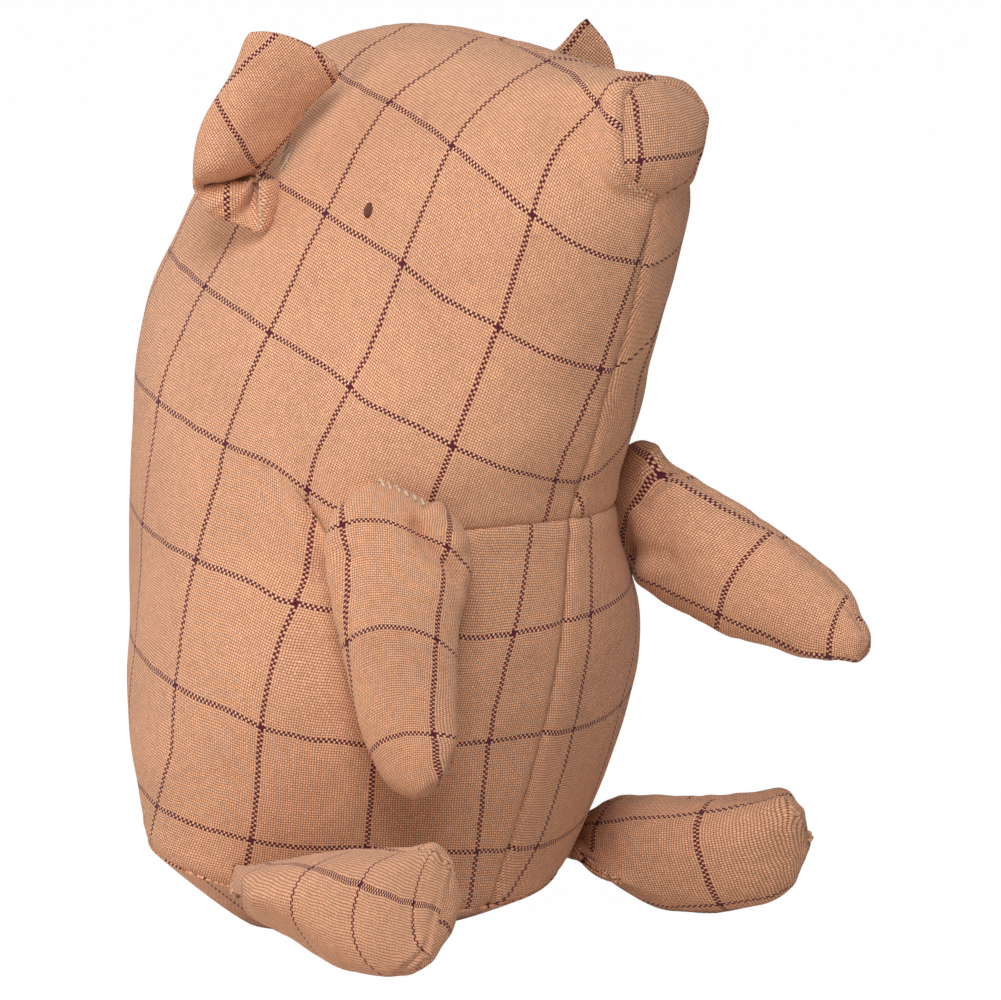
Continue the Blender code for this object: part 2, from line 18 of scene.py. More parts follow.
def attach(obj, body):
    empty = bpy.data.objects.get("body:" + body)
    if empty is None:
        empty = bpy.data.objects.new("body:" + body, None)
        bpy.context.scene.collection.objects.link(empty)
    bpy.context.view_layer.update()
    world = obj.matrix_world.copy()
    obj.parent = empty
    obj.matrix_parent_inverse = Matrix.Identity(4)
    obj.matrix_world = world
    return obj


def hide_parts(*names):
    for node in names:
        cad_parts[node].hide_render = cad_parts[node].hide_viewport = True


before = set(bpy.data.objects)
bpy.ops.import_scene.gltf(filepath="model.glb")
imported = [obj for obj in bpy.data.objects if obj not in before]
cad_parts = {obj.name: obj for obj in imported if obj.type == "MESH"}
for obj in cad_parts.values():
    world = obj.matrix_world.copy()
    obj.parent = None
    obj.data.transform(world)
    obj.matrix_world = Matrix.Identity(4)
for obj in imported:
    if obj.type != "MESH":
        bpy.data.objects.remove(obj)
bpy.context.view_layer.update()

MM = 0.001
MIDDLE = np.array([0.0, -10.0, 100.0]) * MM

# Camera, as found from the photograph
PHOTO_WIDTH = 1001
PHOTO_HEIGHT = 1000
FOCAL_PIXELS = 9439.0
SENSOR_WIDTH = 36.0
FAR_CLIP = 20.0
CAMERA_PLACE = Vector((-1.5275, -1.52782, 0.4084))
CAMERA_AIM = Vector((0.0013, -0.04022, 0.10105))

# Cloth
CHECK_PITCH = 28.2 * MM
THREADS_PER_CHECK = 46
PLUM_THREADS = 2.0
# How far a thread's height comes from its round section, and from its run over and under others
THREAD_CROWN = 0.55
THREAD_WAVE = 0.45
THREAD_BUMP = 0.22 * MM
CLOTH_THICKNESS = 0.9 * MM
EAR_CLOTH_THICKNESS = 0.6 * MM

# Body outline along the centre line, as shares of its height, from the base seam to the snout
BODY_HEIGHT = 208.0 * MM
FRONT_SHARES = (
    (-0.183, 0.030), (-0.256, 0.203), (-0.298, 0.358), (-0.311, 0.483), (-0.337, 0.547),
    (-0.361, 0.613), (-0.398, 0.708), (-0.424, 0.794), (-0.441, 0.833),
)
BACK_SHARES = (
    (0.184, 0.118), (0.255, 0.237), (0.305, 0.406), (0.300, 0.624), (0.255, 0.771),
    (0.140, 0.927), (-0.037, 1.000), (-0.232, 0.991), (-0.440, 0.969),
)
HALF_WIDTH_SHARES = (0.263, 0.294, 0.277, 0.255, 0.207, 0.155, 0.130, 0.113, 0.073)
FORWARD_WIDTH_SHARES = (-0.2, 0.2, 0.2, 0.3, -0.1)
SQUARENESS_SHARES = (2.1, 2.0, 2.2, 2.1, 2.2)

# Snout disc, seen in the photograph: its outline, clockwise from the top, on the plane of the disc
SNOUT_OUTLINE_PIXELS = (
    (656, 74.5), (636.6, 80), (622.6, 90), (620.5, 111), (619.8, 136), (619.8, 156), (622, 174),
    (633, 188), (648, 197), (661, 203), (673, 197), (684, 191), (698, 178), (704, 161.5), (711, 132),
    (713, 114), (704, 98), (688.5, 86), (672, 79),
)

# Chest dart: from the centre front seam, on under the arm, to its tip on the side
DART_PIXELS = (
    (573.8, 519.6), (520, 525), (463.8, 530.7), (420, 541), (375, 549), (340, 549), (324, 538),
    (311, 517), (299, 494), (289, 476),
)

# Lines of the check: 0 for one that runs down and 1 for one that runs across, its number, its path
RIGHT_PANEL_LINES = (
    (0, 0, ((170, 252.6), (131.9, 379.6))),
    (0, 1, ((360, 52), (343, 73), (248, 200), (205.4, 287), (158.7, 401), (142, 523.7), (138, 600),
            (135.7, 646))),
    (0, 2, ((450, 60), (387.5, 100.8), (326.5, 213), (269.6, 331.6), (223, 444.6), (224, 469),
            (210, 502), (195.7, 561), (184, 604), (174, 685.7), (172.7, 752), (156, 804.6))),
    (0, 3, ((563, 51), (547, 60), (512, 80), (484, 105), (452, 146), (402, 264), (350, 388),
            (314, 463), (305, 486), (311, 556), (296, 602), (276, 655), (261.5, 726), (255.6, 800),
            (251, 840.8), (243, 877))),
    (0, 4, ((634, 79), (625, 77.6), (614, 81), (605, 89), (597, 104.6), (566, 135), (533, 215.6),
            (499, 327), (453, 447), (430, 505), (376, 740), (374, 775), (366.6, 848))),
    (0, 5, ((657, 216), (648, 232), (638, 261), (627, 293.6), (618, 316.4), (609, 341.4),
            (601.5, 368.6), (588, 400), (575.5, 430), (564, 455), (556, 480), (550.5, 502.7),
            (546, 517), (530.7, 532), (514.8, 633.4), (488.6, 740.6), (477.5, 851), (469.5, 900))),
    (1, 0, ((497, 36), (546.7, 60), (597, 104.6), (610.5, 118), (618, 127))),
    (1, 1, ((345, 80), (387.5, 100.8), (452.8, 145.9), (533.2, 215.6), (557, 232), (582, 248),
            (607, 257), (638, 261.5))),
    (1, 2, ((280, 185), (326.5, 213), (402.8, 264), (499, 327), (530, 347), (568.6, 363), (600, 368.6))),
    (1, 3, ((170, 252.6), (205.4, 287), (269.6, 331.6), (350.8, 387.8), (453, 447.4), (530, 475.5),
            (571, 482))),
    (1, 4, ((131.9, 379.6), (158.7, 401), (223, 444.6), (265, 462), (288, 472), (303, 490))),
    (1, 5, ((142, 523.7), (195.7, 561), (296, 602), (320, 610), (480, 638), (514.8, 633.4), (558, 622))),
    (1, 6, ((135.7, 646), (174, 685.7), (261.5, 726), (345, 744), (488.6, 740.6), (540, 734))),
    (1, 7, ((156, 804.6), (251, 840.8), (366.6, 848), (477.5, 851), (506, 850))),
)
LEFT_PANEL_LINES = (
    (0, 0, ((585, 448), (579, 462), (577.7, 482), (579, 496), (582, 514))),
    (0, 0, ((590.7, 522), (591, 560), (591, 613.6), (573.8, 730), (538, 848), (502, 898))),
    (0, 1, ((667, 300), (663, 318.6), (650, 348), (631, 432), (632, 441))),
    (0, 1, ((639, 597.7), (636, 640), (620, 704.5), (605, 780))),
    (1, 1, ((646.5, 265), (654, 265), (666, 258.4), (679, 247))),
    (1, 2, ((609.5, 369), (623.2, 364), (636.8, 355), (648, 341), (655, 334))),
    (1, 3, ((577.7, 482), (584.5, 479), (608.4, 463), (621, 448), (631, 432), (640, 409))),
    (1, 5, ((572, 620), (591, 613.6), (639, 597.7))),
    (1, 6, ((552, 733), (573.8, 730), (620, 704.5))),
    (1, 7, ((520, 848), (538, 848), (580, 838))),
)
SNOUT_LINES = (
    (0, 0, ((625, 94), (629.6, 100), (636, 112.7), (640.5, 127), (643, 142), (643, 158), (641.5, 169),
            (638.5, 183))),
    (1, 0, ((622, 156.4), (632.4, 156), (642, 159), (654, 160), (672.4, 161), (690.5, 159.6),
            (702, 158.7))),
)
ARM_RIGHT_LINES = (
    (0, 0, ((341, 510), (341, 528), (347, 563), (352, 576), (345, 594), (346, 650), (352, 686))),
    (0, 1, ((450, 524), (436.7, 550.5), (444, 579), (436.7, 612), (438, 642), (434, 681),
            (430, 719), (434, 734), (442, 770))),
    (1, 0, ((343, 525), (388, 520), (406, 530), (436.7, 550.5), (468, 568))),
    (1, 1, ((348, 643), (393, 626), (434, 638.5), (454, 653))),
    (1, 2, ((372, 751), (401, 734), (432, 734), (453, 737))),
)
ARM_LEFT_LINES = (
    (0, 0, ((664, 474), (653, 479), (639, 498), (624, 523))),
    (0, 1, ((773, 531), (755.6, 548), (736, 570), (725, 589), (718, 614), (717, 625))),
    (0, 2, ((843, 602), (837.5, 611.7), (830.6, 636.7), (828, 654))),
    (1, 0, ((664, 474), (680.5, 484), (700, 498), (722, 505), (750, 517), (773, 531), (792, 543))),
    (1, 1, ((631, 571), (653, 584), (680.5, 598), (718, 614), (750, 628), (791.7, 650.5),
            (828, 656), (855, 661))),
)
LEG_RIGHT_LINES = (
    (0, 0, ((334, 857), (313, 867), (297, 885), (292, 906), (304, 938))),
    (0, 1, ((393, 856), (375, 862), (360, 886), (352, 919), (359, 954), (373, 968))),
    (1, 0, ((290, 864), (313, 867), (360, 886), (430, 906))),
)
LEG_LEFT_LINES = (
    (0, 0, ((613, 802), (597, 823), (588, 861), (599.5, 903))),
    (0, 1, ((713, 800), (700, 813), (697, 843.5), (718, 903))),
    (1, 0, ((597, 823), (700, 813), (795, 806))),
    (1, 1, ((624, 909), (719, 905), (770, 897))),
)

# Limbs: their CAD sections (place, half width, half depth, side shift), as length shares
ARM_LENGTH = 71.0 * MM
LEG_LENGTH = 72.0 * MM
ARM_SECTION_SHARES = (
    (0.000, 0.135, 0.036, 0.000), (0.035, 0.170, 0.052, 0.000), (0.120, 0.210, 0.080, 0.000),
    (0.240, 0.228, 0.108, 0.000), (0.380, 0.215, 0.122, 0.000), (0.520, 0.190, 0.122, 0.000),
    (0.660, 0.168, 0.114, 0.006), (0.790, 0.148, 0.098, 0.018), (0.890, 0.120, 0.078, 0.028),
    (0.960, 0.086, 0.055, 0.034), (1.000, 0.054, 0.034, 0.036),
)
LEG_SECTION_SHARES = (
    (0.000, 0.062, 0.050, 0.000), (0.040, 0.090, 0.080, 0.000), (0.140, 0.120, 0.110, 0.000),
    (0.280, 0.146, 0.142, 0.012), (0.420, 0.168, 0.170, 0.036), (0.560, 0.190, 0.184, 0.052),
    (0.700, 0.200, 0.184, 0.064), (0.820, 0.196, 0.165, 0.072), (0.910, 0.184, 0.126, 0.076),
    (0.970, 0.166, 0.078, 0.080), (1.000, 0.145, 0.044, 0.080),
)
ARM_RIGHT_ROOT_SHARES = (-0.208, -0.250, 0.536)
ARM_LEFT_ROOT_SHARES = (0.206, -0.251, 0.471)
LEG_ROOT_SHARES = (0.252, -0.045, 0.052)
LIMB_CLEARANCE = 1.2 * MM
SEWN_SHARE = 0.09

# Way in which each limb points, the way of its sewn line, and the angles at which it is kept clear
ARM_RIGHT_AIM = (0.010, -0.020, -1.0)
ARM_RIGHT_SEWN_LINE = (0.66, -0.73, -0.18)
ARM_RIGHT_ANGLES = (0, -15, -35, -55, -70)
ARM_LEFT_AIM = (0.000, -0.912, -0.410)
ARM_LEFT_SEWN_LINE = (0.02, -0.38, 0.92)
ARM_LEFT_ANGLES = (-10, 10, 30)
ARM_LEFT_SAG = 0.05
LEG_ANGLES = (0, 20, 40)
LEG_RIGHT_SPLAY = 5.0
LEG_LEFT_SPLAY = 9.0
LEG_ROLL = 12.0
ARM_FORM = (ARM_SECTION_SHARES, 2.2, ARM_LENGTH)
LEG_FORM = (LEG_SECTION_SHARES, 2.3, LEG_LENGTH)

# Limb outlines seen in the photograph: the two edges, each from root to tip
ARM_RIGHT_EDGES = (
    ((372, 481), (356, 489), (340, 502.5), (327, 522), (323, 545), (326, 580), (333, 617), (342, 655),
     (349, 686), (358, 726.5), (370, 757), (383, 783), (398, 793), (414, 797)),
    ((404, 489), (424, 499), (446, 512), (462, 526), (471, 543), (475, 563), (471, 592),
     (463, 606), (459, 630), (458, 655), (458, 701), (459, 732), (456, 757), (446, 783), (432, 794),
     (414, 797)),
)
ARM_LEFT_EDGES = (
    ((606, 452), (630, 436), (647, 430), (658, 441), (665, 455), (672, 465), (689, 471.4), (703, 484),
     (719.4, 493.6), (739, 504), (758, 516), (780.6, 529), (811, 556), (828, 568.6), (844.4, 582.5),
     (855.6, 593.6), (862, 607), (868, 622), (875, 639.4), (874, 648), (869, 658)),
    ((596, 556), (624, 583), (648.6, 597.8), (669.4, 607.5), (691.7, 617), (716.7, 629.7), (737.5, 639),
     (766.7, 645.6), (786, 652.8), (803, 659), (828, 662.5), (847, 664), (858, 666), (869, 658)),
)
LEG_RIGHT_EDGES = (
    ((208, 870), (230, 869), (252, 867), (280, 861), (304, 855), (350, 849), (385, 850), (414, 849),
     (428, 844), (440, 842.5), (453, 860), (462, 885), (465, 905)),
    ((214, 893), (224, 901), (261, 920), (296, 940), (325, 960), (345, 970), (384, 978), (414, 974.5),
     (436, 960), (456, 934), (465, 905)),
)
LEG_LEFT_EDGES = (
    ((560, 812), (589, 801), (618, 795), (687, 795), (753, 793), (779, 787.5), (790, 791), (802, 806),
     (811, 826), (813, 843.5)),
    ((512, 878), (531, 889), (561, 901), (624, 913), (719, 912), (773, 901), (795, 888), (807, 868),
     (813, 843.5)),
)

# Pulls on a piece: from a pixel, to a pixel, and their reach in pixels
LEG_RIGHT_MOVES = ((230, 912, 239, 895, 12),)
ARM_LEFT_MOVES = ((640, 574, 632, 579, 15),)

# Creases on the limbs: pixel line, width in pixels, depth
ARM_RIGHT_STROKES = (
    (((414, 512), (418, 530), (427, 546), (444, 561), (458, 578), (470, 600)), 6.5, -2.6 * MM),
    (((428, 503), (446, 528), (463, 556)), 12, 2.2 * MM),
    (((330, 545), (345, 556), (362, 560)), 6, -0.7 * MM),
    (((457, 742), (450, 768), (440, 784), (420, 794)), 3.5, -0.6 * MM),
    (((350, 640), (380, 628), (410, 630)), 10, 0.6 * MM),
)
ARM_LEFT_STROKES = (
    (((676, 462), (662, 478), (645, 496), (634, 516)), 8, -1.5 * MM),
    (((655, 440), (650, 462), (636, 480)), 9, 1.0 * MM),
    (((625, 545), (650, 556), (676, 552)), 9, -0.9 * MM),
    (((840, 600), (848, 607), (857, 618), (868, 636)), 3.5, -0.9 * MM),
    (((700, 500), (690, 530), (700, 560)), 16, 0.6 * MM),
)
LEG_RIGHT_STROKES = (
    (((441, 838), (444, 858), (449, 880), (437, 905), (430, 935), (418, 956), (400, 972), (385, 984)),
     3.5, -0.8 * MM),
    (((232, 898), (262, 885), (300, 880)), 7, -0.8 * MM),
)
LEG_LEFT_STROKES = (
    (((775, 780), (783, 789), (802, 806), (812, 838), (806, 868), (795, 884)), 3.5, -0.6 * MM),
    (((560, 850), (590, 846), (615, 850)), 12, -0.8 * MM),
)

# Hand stitches in pale thread, each a line of pixels
ARM_STITCHES = (
    ((380, 479), (384, 486)), ((388, 482), (391, 489)), ((396, 485), (400, 492)), ((404, 489), (408, 496)),
    ((413, 493), (416, 500)), ((421, 498), (424, 505)),
)
EAR_STITCHES = (
    ((279, 164), (284, 151)), ((283, 167), (289, 153)), ((281, 158), (291, 147)), ((286, 163), (294, 144)),
    ((284, 151), (288, 141)), ((280, 172), (286, 160)),
)
EAR_TOPSTITCH = tuple(
    ((259.6 + k * 0.15, 183.0 + k * 6), (259.8 + k * 0.15, 186.6 + k * 6)) for k in range(8)
)
SNOUT_STITCHES = (((629, 185), (632, 190)), ((634, 187), (637, 192)), ((640, 189), (643, 194)))

# Ears: (outer edge point, inner edge point) for each row from root to tip, as length shares
EAR_LENGTH = 46.0 * MM
EAR_ROOT_SHARES = (0.142, 0.014, 0.822)
EAR_LEFT_SHARES = (
    ((0.10, 0.01, -0.22), (-0.10, -0.01, 0.22)),
    ((0.26, -0.05, -0.07), (0.02, -0.14, 0.33)),
    ((0.41, -0.23, 0.11), (0.11, -0.29, 0.46)),
    ((0.48, -0.49, 0.30), (0.21, -0.47, 0.61)),
    ((0.47, -0.71, 0.49), (0.32, -0.68, 0.73)),
)

# Near ear: pixel place and depth in mm behind the aim of the camera, rows from root to tip
EAR_NEAR_FORM = (
    ((268, 229, -2.0), (273, 211, -0.8), (277, 195, 0.2), (279, 179, 1.0)),
    ((258, 232, -3.8), (260, 213, -3.6), (261, 197, -3.0), (262, 180, -1.6)),
    ((240, 225, -3.0), (246, 210, -0.8), (250, 197, 0.2), (254, 182, 0.8)),
    ((211, 213, -3.6), (220, 205, -5.6), (240, 191, -5.0), (254, 179, -2.0)),
    ((196, 192, -4.2), (206, 185, -1.4), (227, 181, -0.4), (256, 175, -0.2)),
    ((193, 170, -7.0), (208, 171, -9.0), (232, 169, -8.0), (262, 168, -3.6)),
    ((198, 136, -10.5), (225, 140, -13.2), (255, 138, -11.0), (289, 138, -5.6)),
    ((212, 104, -13.4), (243, 106, -15.8), (276, 105, -13.6), (308, 107, -8.4)),
    ((233, 70, -15.4), (261, 72, -17.8), (293, 74, -16.0), (334, 82, -11.0)),
    ((245, 41, -17.0), (272, 41, -19.2), (303, 51, -18.0), (338, 70, -14.0)),
    ((252, 34, -17.2), (273, 32.5, -19.2), (306, 43, -18.2), (332, 61, -14.4)),
)
EAR_NEAR_STROKES = (
    (((256.5, 178), (256, 196), (256.5, 214), (258, 236)), 3, -1.0 * MM),
    (((210, 214), (229, 202), (240, 190), (252, 178)), 4, -1.0 * MM),
    (((200, 184), (222, 182), (240, 178), (262, 170)), 3.5, -1.0 * MM),
    (((250, 60), (262, 100), (270, 140)), 18, -0.7 * MM),
)
EAR_NEAR_LINES = (
    (0, 0, ((220, 107), (234.5, 127), (246, 147), (254, 167))),
    (0, 1, ((313, 49), (323, 62), (331, 78))),
    (1, 0, ((269.8, 38), (255, 54), (239, 69), (228, 83), (222, 92))),
    (1, 1, ((292, 132), (277.7, 145), (264, 161), (258, 169))),
)
EAR_FAR_LINES = ((0, 0, ((585, 26), (575, 38), (566, 50))),)
EAR_FAR_MOVES = ((592, 34, 587, 20, 26), (606, 58, 612, 52, 20))

# Eye: its middle in the photograph, its satin stitches and half its height
EYE_PIXEL = (368.5, 210.5)
EYE_THREADS = 9
EYE_HALF_HEIGHT = 1.75 * MM


# ---- camera geometry

def camera_axes():
    """Right, up and forward of the camera."""
    forward = (CAMERA_AIM - CAMERA_PLACE).normalized()
    right = forward.cross(Vector((0, 0, 1))).normalized()
    return right, right.cross(forward), forward


RIGHT, UP, FORWARD = camera_axes()


def ray(x, y):
    """Direction from the camera through a pixel, one metre deep."""
    across = (x - PHOTO_WIDTH / 2) / FOCAL_PIXELS
    down = (y - PHOTO_HEIGHT / 2) / FOCAL_PIXELS
    return FORWARD + RIGHT * across - UP * down


def at_depth(x, y, depth):
    """Point at a pixel and a depth from the camera."""
    return CAMERA_PLACE + ray(x, y) * depth


def pixels(points):
    """Photograph pixels of an array of points."""
    offset = points - np.array(CAMERA_PLACE)
    depth = offset @ np.array(FORWARD)
    x = PHOTO_WIDTH / 2 + FOCAL_PIXELS * (offset @ np.array(RIGHT)) / depth
    y = PHOTO_HEIGHT / 2 - FOCAL_PIXELS * (offset @ np.array(UP)) / depth
    return np.stack([x, y], axis=-1)


def move_across(points, shift, share=1.0):
    """Points moved across the view by a shift in pixels, or by a share of it."""
    depth = (points - np.array(CAMERA_PLACE)) @ np.array(FORWARD)
    scale = depth[..., None] / FOCAL_PIXELS
    return points + (shift[..., :1] * np.array(RIGHT) - shift[..., 1:] * np.array(UP)) * scale * share


# ---- smooth curves and noise

def spline(values, places):
    """Natural cubic spline through evenly spaced values, read at places from 0 to 1."""
    values = np.array(values, float)
    if values.ndim == 1:
        values = values[:, None]
    count = len(values)
    matrix = np.eye(count)
    right = np.zeros_like(values)
    for i in range(1, count - 1):
        matrix[i, i - 1:i + 2] = (1.0, 4.0, 1.0)
        right[i] = 6.0 * (values[i + 1] - 2.0 * values[i] + values[i - 1])
    bends = np.linalg.solve(matrix, right)
    x = np.clip(np.asarray(places, float), 0.0, 1.0) * (count - 1)
    i = np.minimum(x.astype(int), count - 2)
    b = (x - i)[:, None]
    a = 1.0 - b
    curve = ((a ** 3 - a) * bends[i] + (b ** 3 - b) * bends[i + 1]) / 6.0
    return a * values[i] + b * values[i + 1] + curve


def smooth_step(x):
    """Smooth rise from 0 to 1."""
    x = np.clip(x, 0.0, 1.0)
    return x * x * (3.0 - 2.0 * x)


def smoothed(line, reach, mode="edge", **settings):
    """A line of numbers averaged over a number of steps each way."""
    kernel = np.hanning(2 * reach + 1)
    return np.convolve(np.pad(line, reach, mode=mode, **settings), kernel / kernel.sum(), "valid")


def line_noise(x, seed):
    """Smooth noise from -1 to 1 along a line, one bump per unit."""
    table = np.random.RandomState(seed).uniform(-1.0, 1.0, 512)
    i = np.floor(x).astype(int)
    f = smooth_step(x - i)
    return table[i % 512] * (1 - f) + table[(i + 1) % 512] * f


def lumps(points, size, seed):
    """Smooth noise over space, about one bump per size, mostly from -1 to 1."""
    random = np.random.RandomState(seed)
    total = np.zeros(points.shape[:-1])
    count = 9
    for k in range(count):
        way = random.normal(size=3)
        way *= random.uniform(0.7, 1.5) / np.linalg.norm(way) * math.pi / size
        total += np.sin(points @ way + random.uniform(0, 2 * math.pi))
    return total / math.sqrt(count) / 1.4


# ---- body surface

def outline_radius(angles):
    """Snout disc's edge as seen in the photograph: x and z from the disc's middle, by angle."""
    plane_y = FRONT_SHARES[-1][0] * BODY_HEIGHT
    points = []
    for x, y in SNOUT_OUTLINE_PIXELS:
        way = ray(x, y)
        points.append(CAMERA_PLACE + way * ((plane_y - CAMERA_PLACE.y) / way.y))
    middle_z = (FRONT_SHARES[-1][1] + BACK_SHARES[-1][1]) / 2 * BODY_HEIGHT
    around = np.array([math.atan2(-p.x, -(p.z - middle_z)) % (2 * math.pi) for p in points])
    reach = np.array([math.hypot(p.x, p.z - middle_z) for p in points])
    order = np.argsort(around)
    around, reach = around[order], reach[order]
    around = np.concatenate([around - 2 * math.pi, around, around + 2 * math.pi])
    reach = np.tile(reach, 3)
    fine = np.linspace(-0.3, 2 * math.pi + 0.3, 400)
    smooth = smoothed(np.interp(fine, around, reach), 8)
    return np.interp(angles % (2 * math.pi), fine, smooth), middle_z


def body_points(s, phi):
    """Points of the plain body form. s runs from base to snout; phi turns from front by the right."""
    shape = s.shape
    s, phi = s.ravel(), phi.ravel()
    front = spline(FRONT_SHARES, s) * BODY_HEIGHT
    back = spline(BACK_SHARES, s) * BODY_HEIGHT
    width = spline(HALF_WIDTH_SHARES, s)[:, 0] * BODY_HEIGHT
    forward = spline(FORWARD_WIDTH_SHARES, s)[:, 0]
    power = 2.0 / spline(SQUARENESS_SHARES, s)[:, 0]
    c, n = np.cos(phi), np.sin(phi)
    c = np.sign(c) * np.abs(c) ** power
    n = np.sign(n) * np.abs(n) ** power
    place = (front + back) / 2 + (front - back) / 2 * c[:, None]
    points = np.stack([-width * n * (1 + forward * c), place[:, 0], place[:, 1]], axis=-1)
    end = smooth_step((s - 0.86) / 0.14)
    reach, middle_z = outline_radius(phi)
    disc = np.stack([-np.sin(phi) * reach, points[:, 1], middle_z - np.cos(phi) * reach], axis=-1)
    points += (disc - points) * end[:, None]
    return points.reshape(*shape, 3)


def body_place(x, y):
    """Where a pixel falls on the body, as s and phi."""
    grid_s, grid_phi = np.meshgrid(np.linspace(0.02, 0.98, 60), np.linspace(-1.2, 3.0, 80), indexing="ij")
    points = body_points(grid_s, grid_phi)
    seen = pixels(points)
    depth = (points - np.array(CAMERA_PLACE)) @ np.array(FORWARD)
    miss = np.hypot(seen[..., 0] - x, seen[..., 1] - y) + depth * 200
    i = np.unravel_index(np.argmin(miss), miss.shape)
    place = np.array([grid_s[i], grid_phi[i]])
    step = 1e-3
    for _ in range(8):
        steps = np.array([[0, 0], [step, 0], [0, step]]) + place
        found = pixels(body_points(steps[:, 0], steps[:, 1]))
        slope = np.stack([(found[1] - found[0]) / step, (found[2] - found[0]) / step], axis=-1)
        move = np.linalg.solve(slope + np.eye(2) * 1e-6, np.array([x, y]) - found[0])
        place = place + np.clip(move, -0.05, 0.05)
    return place


# ---- sheets of cloth

def sheet_normals(points):
    """Unit normals of a grid of points, by rows and columns."""
    along = np.gradient(points, axis=0)
    across = np.gradient(points, axis=1)
    normal = np.cross(across, along)
    return normal / np.maximum(np.linalg.norm(normal, axis=-1, keepdims=True), 1e-12)


def outward_normals(points, inside):
    """Unit normals of a grid of points, turned away from what lies inside."""
    normals = sheet_normals(points)
    return -normals if np.sum(normals * (points - inside)) < 0 else normals


def edge_distance(points, axis):
    """Distance of each grid point from the first and from the last line, along an axis."""
    steps = np.linalg.norm(np.diff(points, axis=axis), axis=-1)
    zero = np.zeros_like(np.take(steps, [0], axis=axis))
    run = np.concatenate([zero, np.cumsum(steps, axis=axis)], axis=axis)
    return run, np.take(run, [-1], axis=axis) - run


def add_grid(mesh, points):
    """A grid sheet laid on an array of points; returns its vertices by row and column."""
    rows, columns = points.shape[:2]
    made = bmesh.ops.create_grid(mesh, x_segments=columns - 1, y_segments=rows - 1, size=1.0)["verts"]
    for vertex, point in zip(made, points.reshape(-1, 3)):
        vertex.co = point
    return [made[r * columns:(r + 1) * columns] for r in range(rows)]


def weld(mesh, rows, welds):
    """Join the second place of each weld to the first; places are grid, row and column."""
    targets = {rows[b][br][bc]: rows[a][ar][ac] for (a, ar, ac), (b, br, bc) in welds}
    if targets:
        bmesh.ops.weld_verts(mesh, targetmap=targets)


def cloth_mesh(grids, flats, welds):
    """One bmesh of several grids with their flat places as UV, sewn at the welds."""
    mesh = bmesh.new()
    layer = mesh.loops.layers.uv.new("UVMap")
    rows = []
    for points, flat in zip(grids, flats):
        verts = add_grid(mesh, points)
        rows.append(verts)
        places = {v: flat[r, c] for r, line in enumerate(verts) for c, v in enumerate(line)}
        for face in {f for line in verts for v in line for f in v.link_faces}:
            for loop in face.loops:
                loop[layer].uv = places[loop.vert]
    weld(mesh, rows, welds)
    return mesh


def flatten(grids, welds):
    """Flat places of cloth grids, laid out with the least stretch, in metres."""
    mesh = bmesh.new()
    layer = mesh.verts.layers.int.new("place")
    rows = [add_grid(mesh, points) for points in grids]
    for k, v in enumerate(v for verts in rows for line in verts for v in line):
        v[layer] = k
    merged = {rows[b][br][bc][layer]: rows[a][ar][ac][layer] for (a, ar, ac), (b, br, bc) in welds}
    weld(mesh, rows, welds)
    data = bpy.data.meshes.new("pattern")
    mesh.verts.index_update()
    keys = [v[layer] for v in mesh.verts]
    mesh.to_mesh(data)
    mesh.free()
    data.uv_layers.new(name="UVMap")
    thing = link("pattern", data)
    bpy.context.view_layer.objects.active = thing
    thing.select_set(True)
    bpy.ops.object.mode_set(mode="EDIT")
    bpy.ops.mesh.select_all(action="SELECT")
    bpy.ops.uv.unwrap(method="MINIMUM_STRETCH", margin=0.0)
    bpy.ops.object.mode_set(mode="OBJECT")
    loops = np.zeros(len(data.loops) * 2)
    data.uv_layers[0].data.foreach_get("uv", loops)
    loops = loops.reshape(-1, 2)
    corner = np.zeros(len(data.loops), int)
    data.loops.foreach_get("vertex_index", corner)
    flat_of = {keys[v]: uv for v, uv in zip(corner, loops)}
    solid_area = sum(p.area for p in data.polygons)
    flat_area = 0.0
    for polygon in data.polygons:
        uv = loops[list(polygon.loop_indices)]
        ahead = np.roll(uv, -1, axis=0)
        flat_area += abs(np.sum(uv[:, 0] * ahead[:, 1] - ahead[:, 0] * uv[:, 1])) / 2
    scale = math.sqrt(solid_area / flat_area)
    bpy.data.objects.remove(thing, do_unlink=True)
    bpy.data.meshes.remove(data)
    flats, start = [], 0
    for rows, columns in (points.shape[:2] for points in grids):
        places = range(start, start + rows * columns)
        start += rows * columns
        flat = np.array([flat_of[merged.get(k, k)] * scale for k in places])
        flats.append(flat.reshape(rows, columns, 2))
    return flats


def refine(coarse, rows, columns):
    """A finer grid through a coarse one."""
    size = coarse.shape[2]
    tall = spline(coarse.reshape(coarse.shape[0], -1), np.linspace(0, 1, rows))
    tall = tall.reshape(rows, coarse.shape[1], size).transpose(1, 0, 2).reshape(coarse.shape[1], -1)
    wide = spline(tall, np.linspace(0, 1, columns))
    return wide.reshape(columns, rows, size).transpose(1, 0, 2)


def link(name, data):
    """New object of a mesh, lamp or camera, linked into the scene."""
    thing = bpy.data.objects.new(name, data)
    bpy.context.scene.collection.objects.link(thing)
    return thing


def new_object(name, mesh, material, thickness=0.0):
    """Object from a bmesh, smooth, with its cloth thickness inward."""
    data = bpy.data.meshes.new(name)
    mesh.to_mesh(data)
    mesh.free()
    data.materials.append(material)
    data.shade_smooth()
    thing = link(name, data)
    if thickness:
        solidify = thing.modifiers.new("cloth", "SOLIDIFY")
        solidify.thickness = thickness
        solidify.offset = -1.0
    return thing


def stand_for(thing, body, solid):
    """Let an object ride on a body and take a solid's place."""
    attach(thing, body)
    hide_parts(solid)


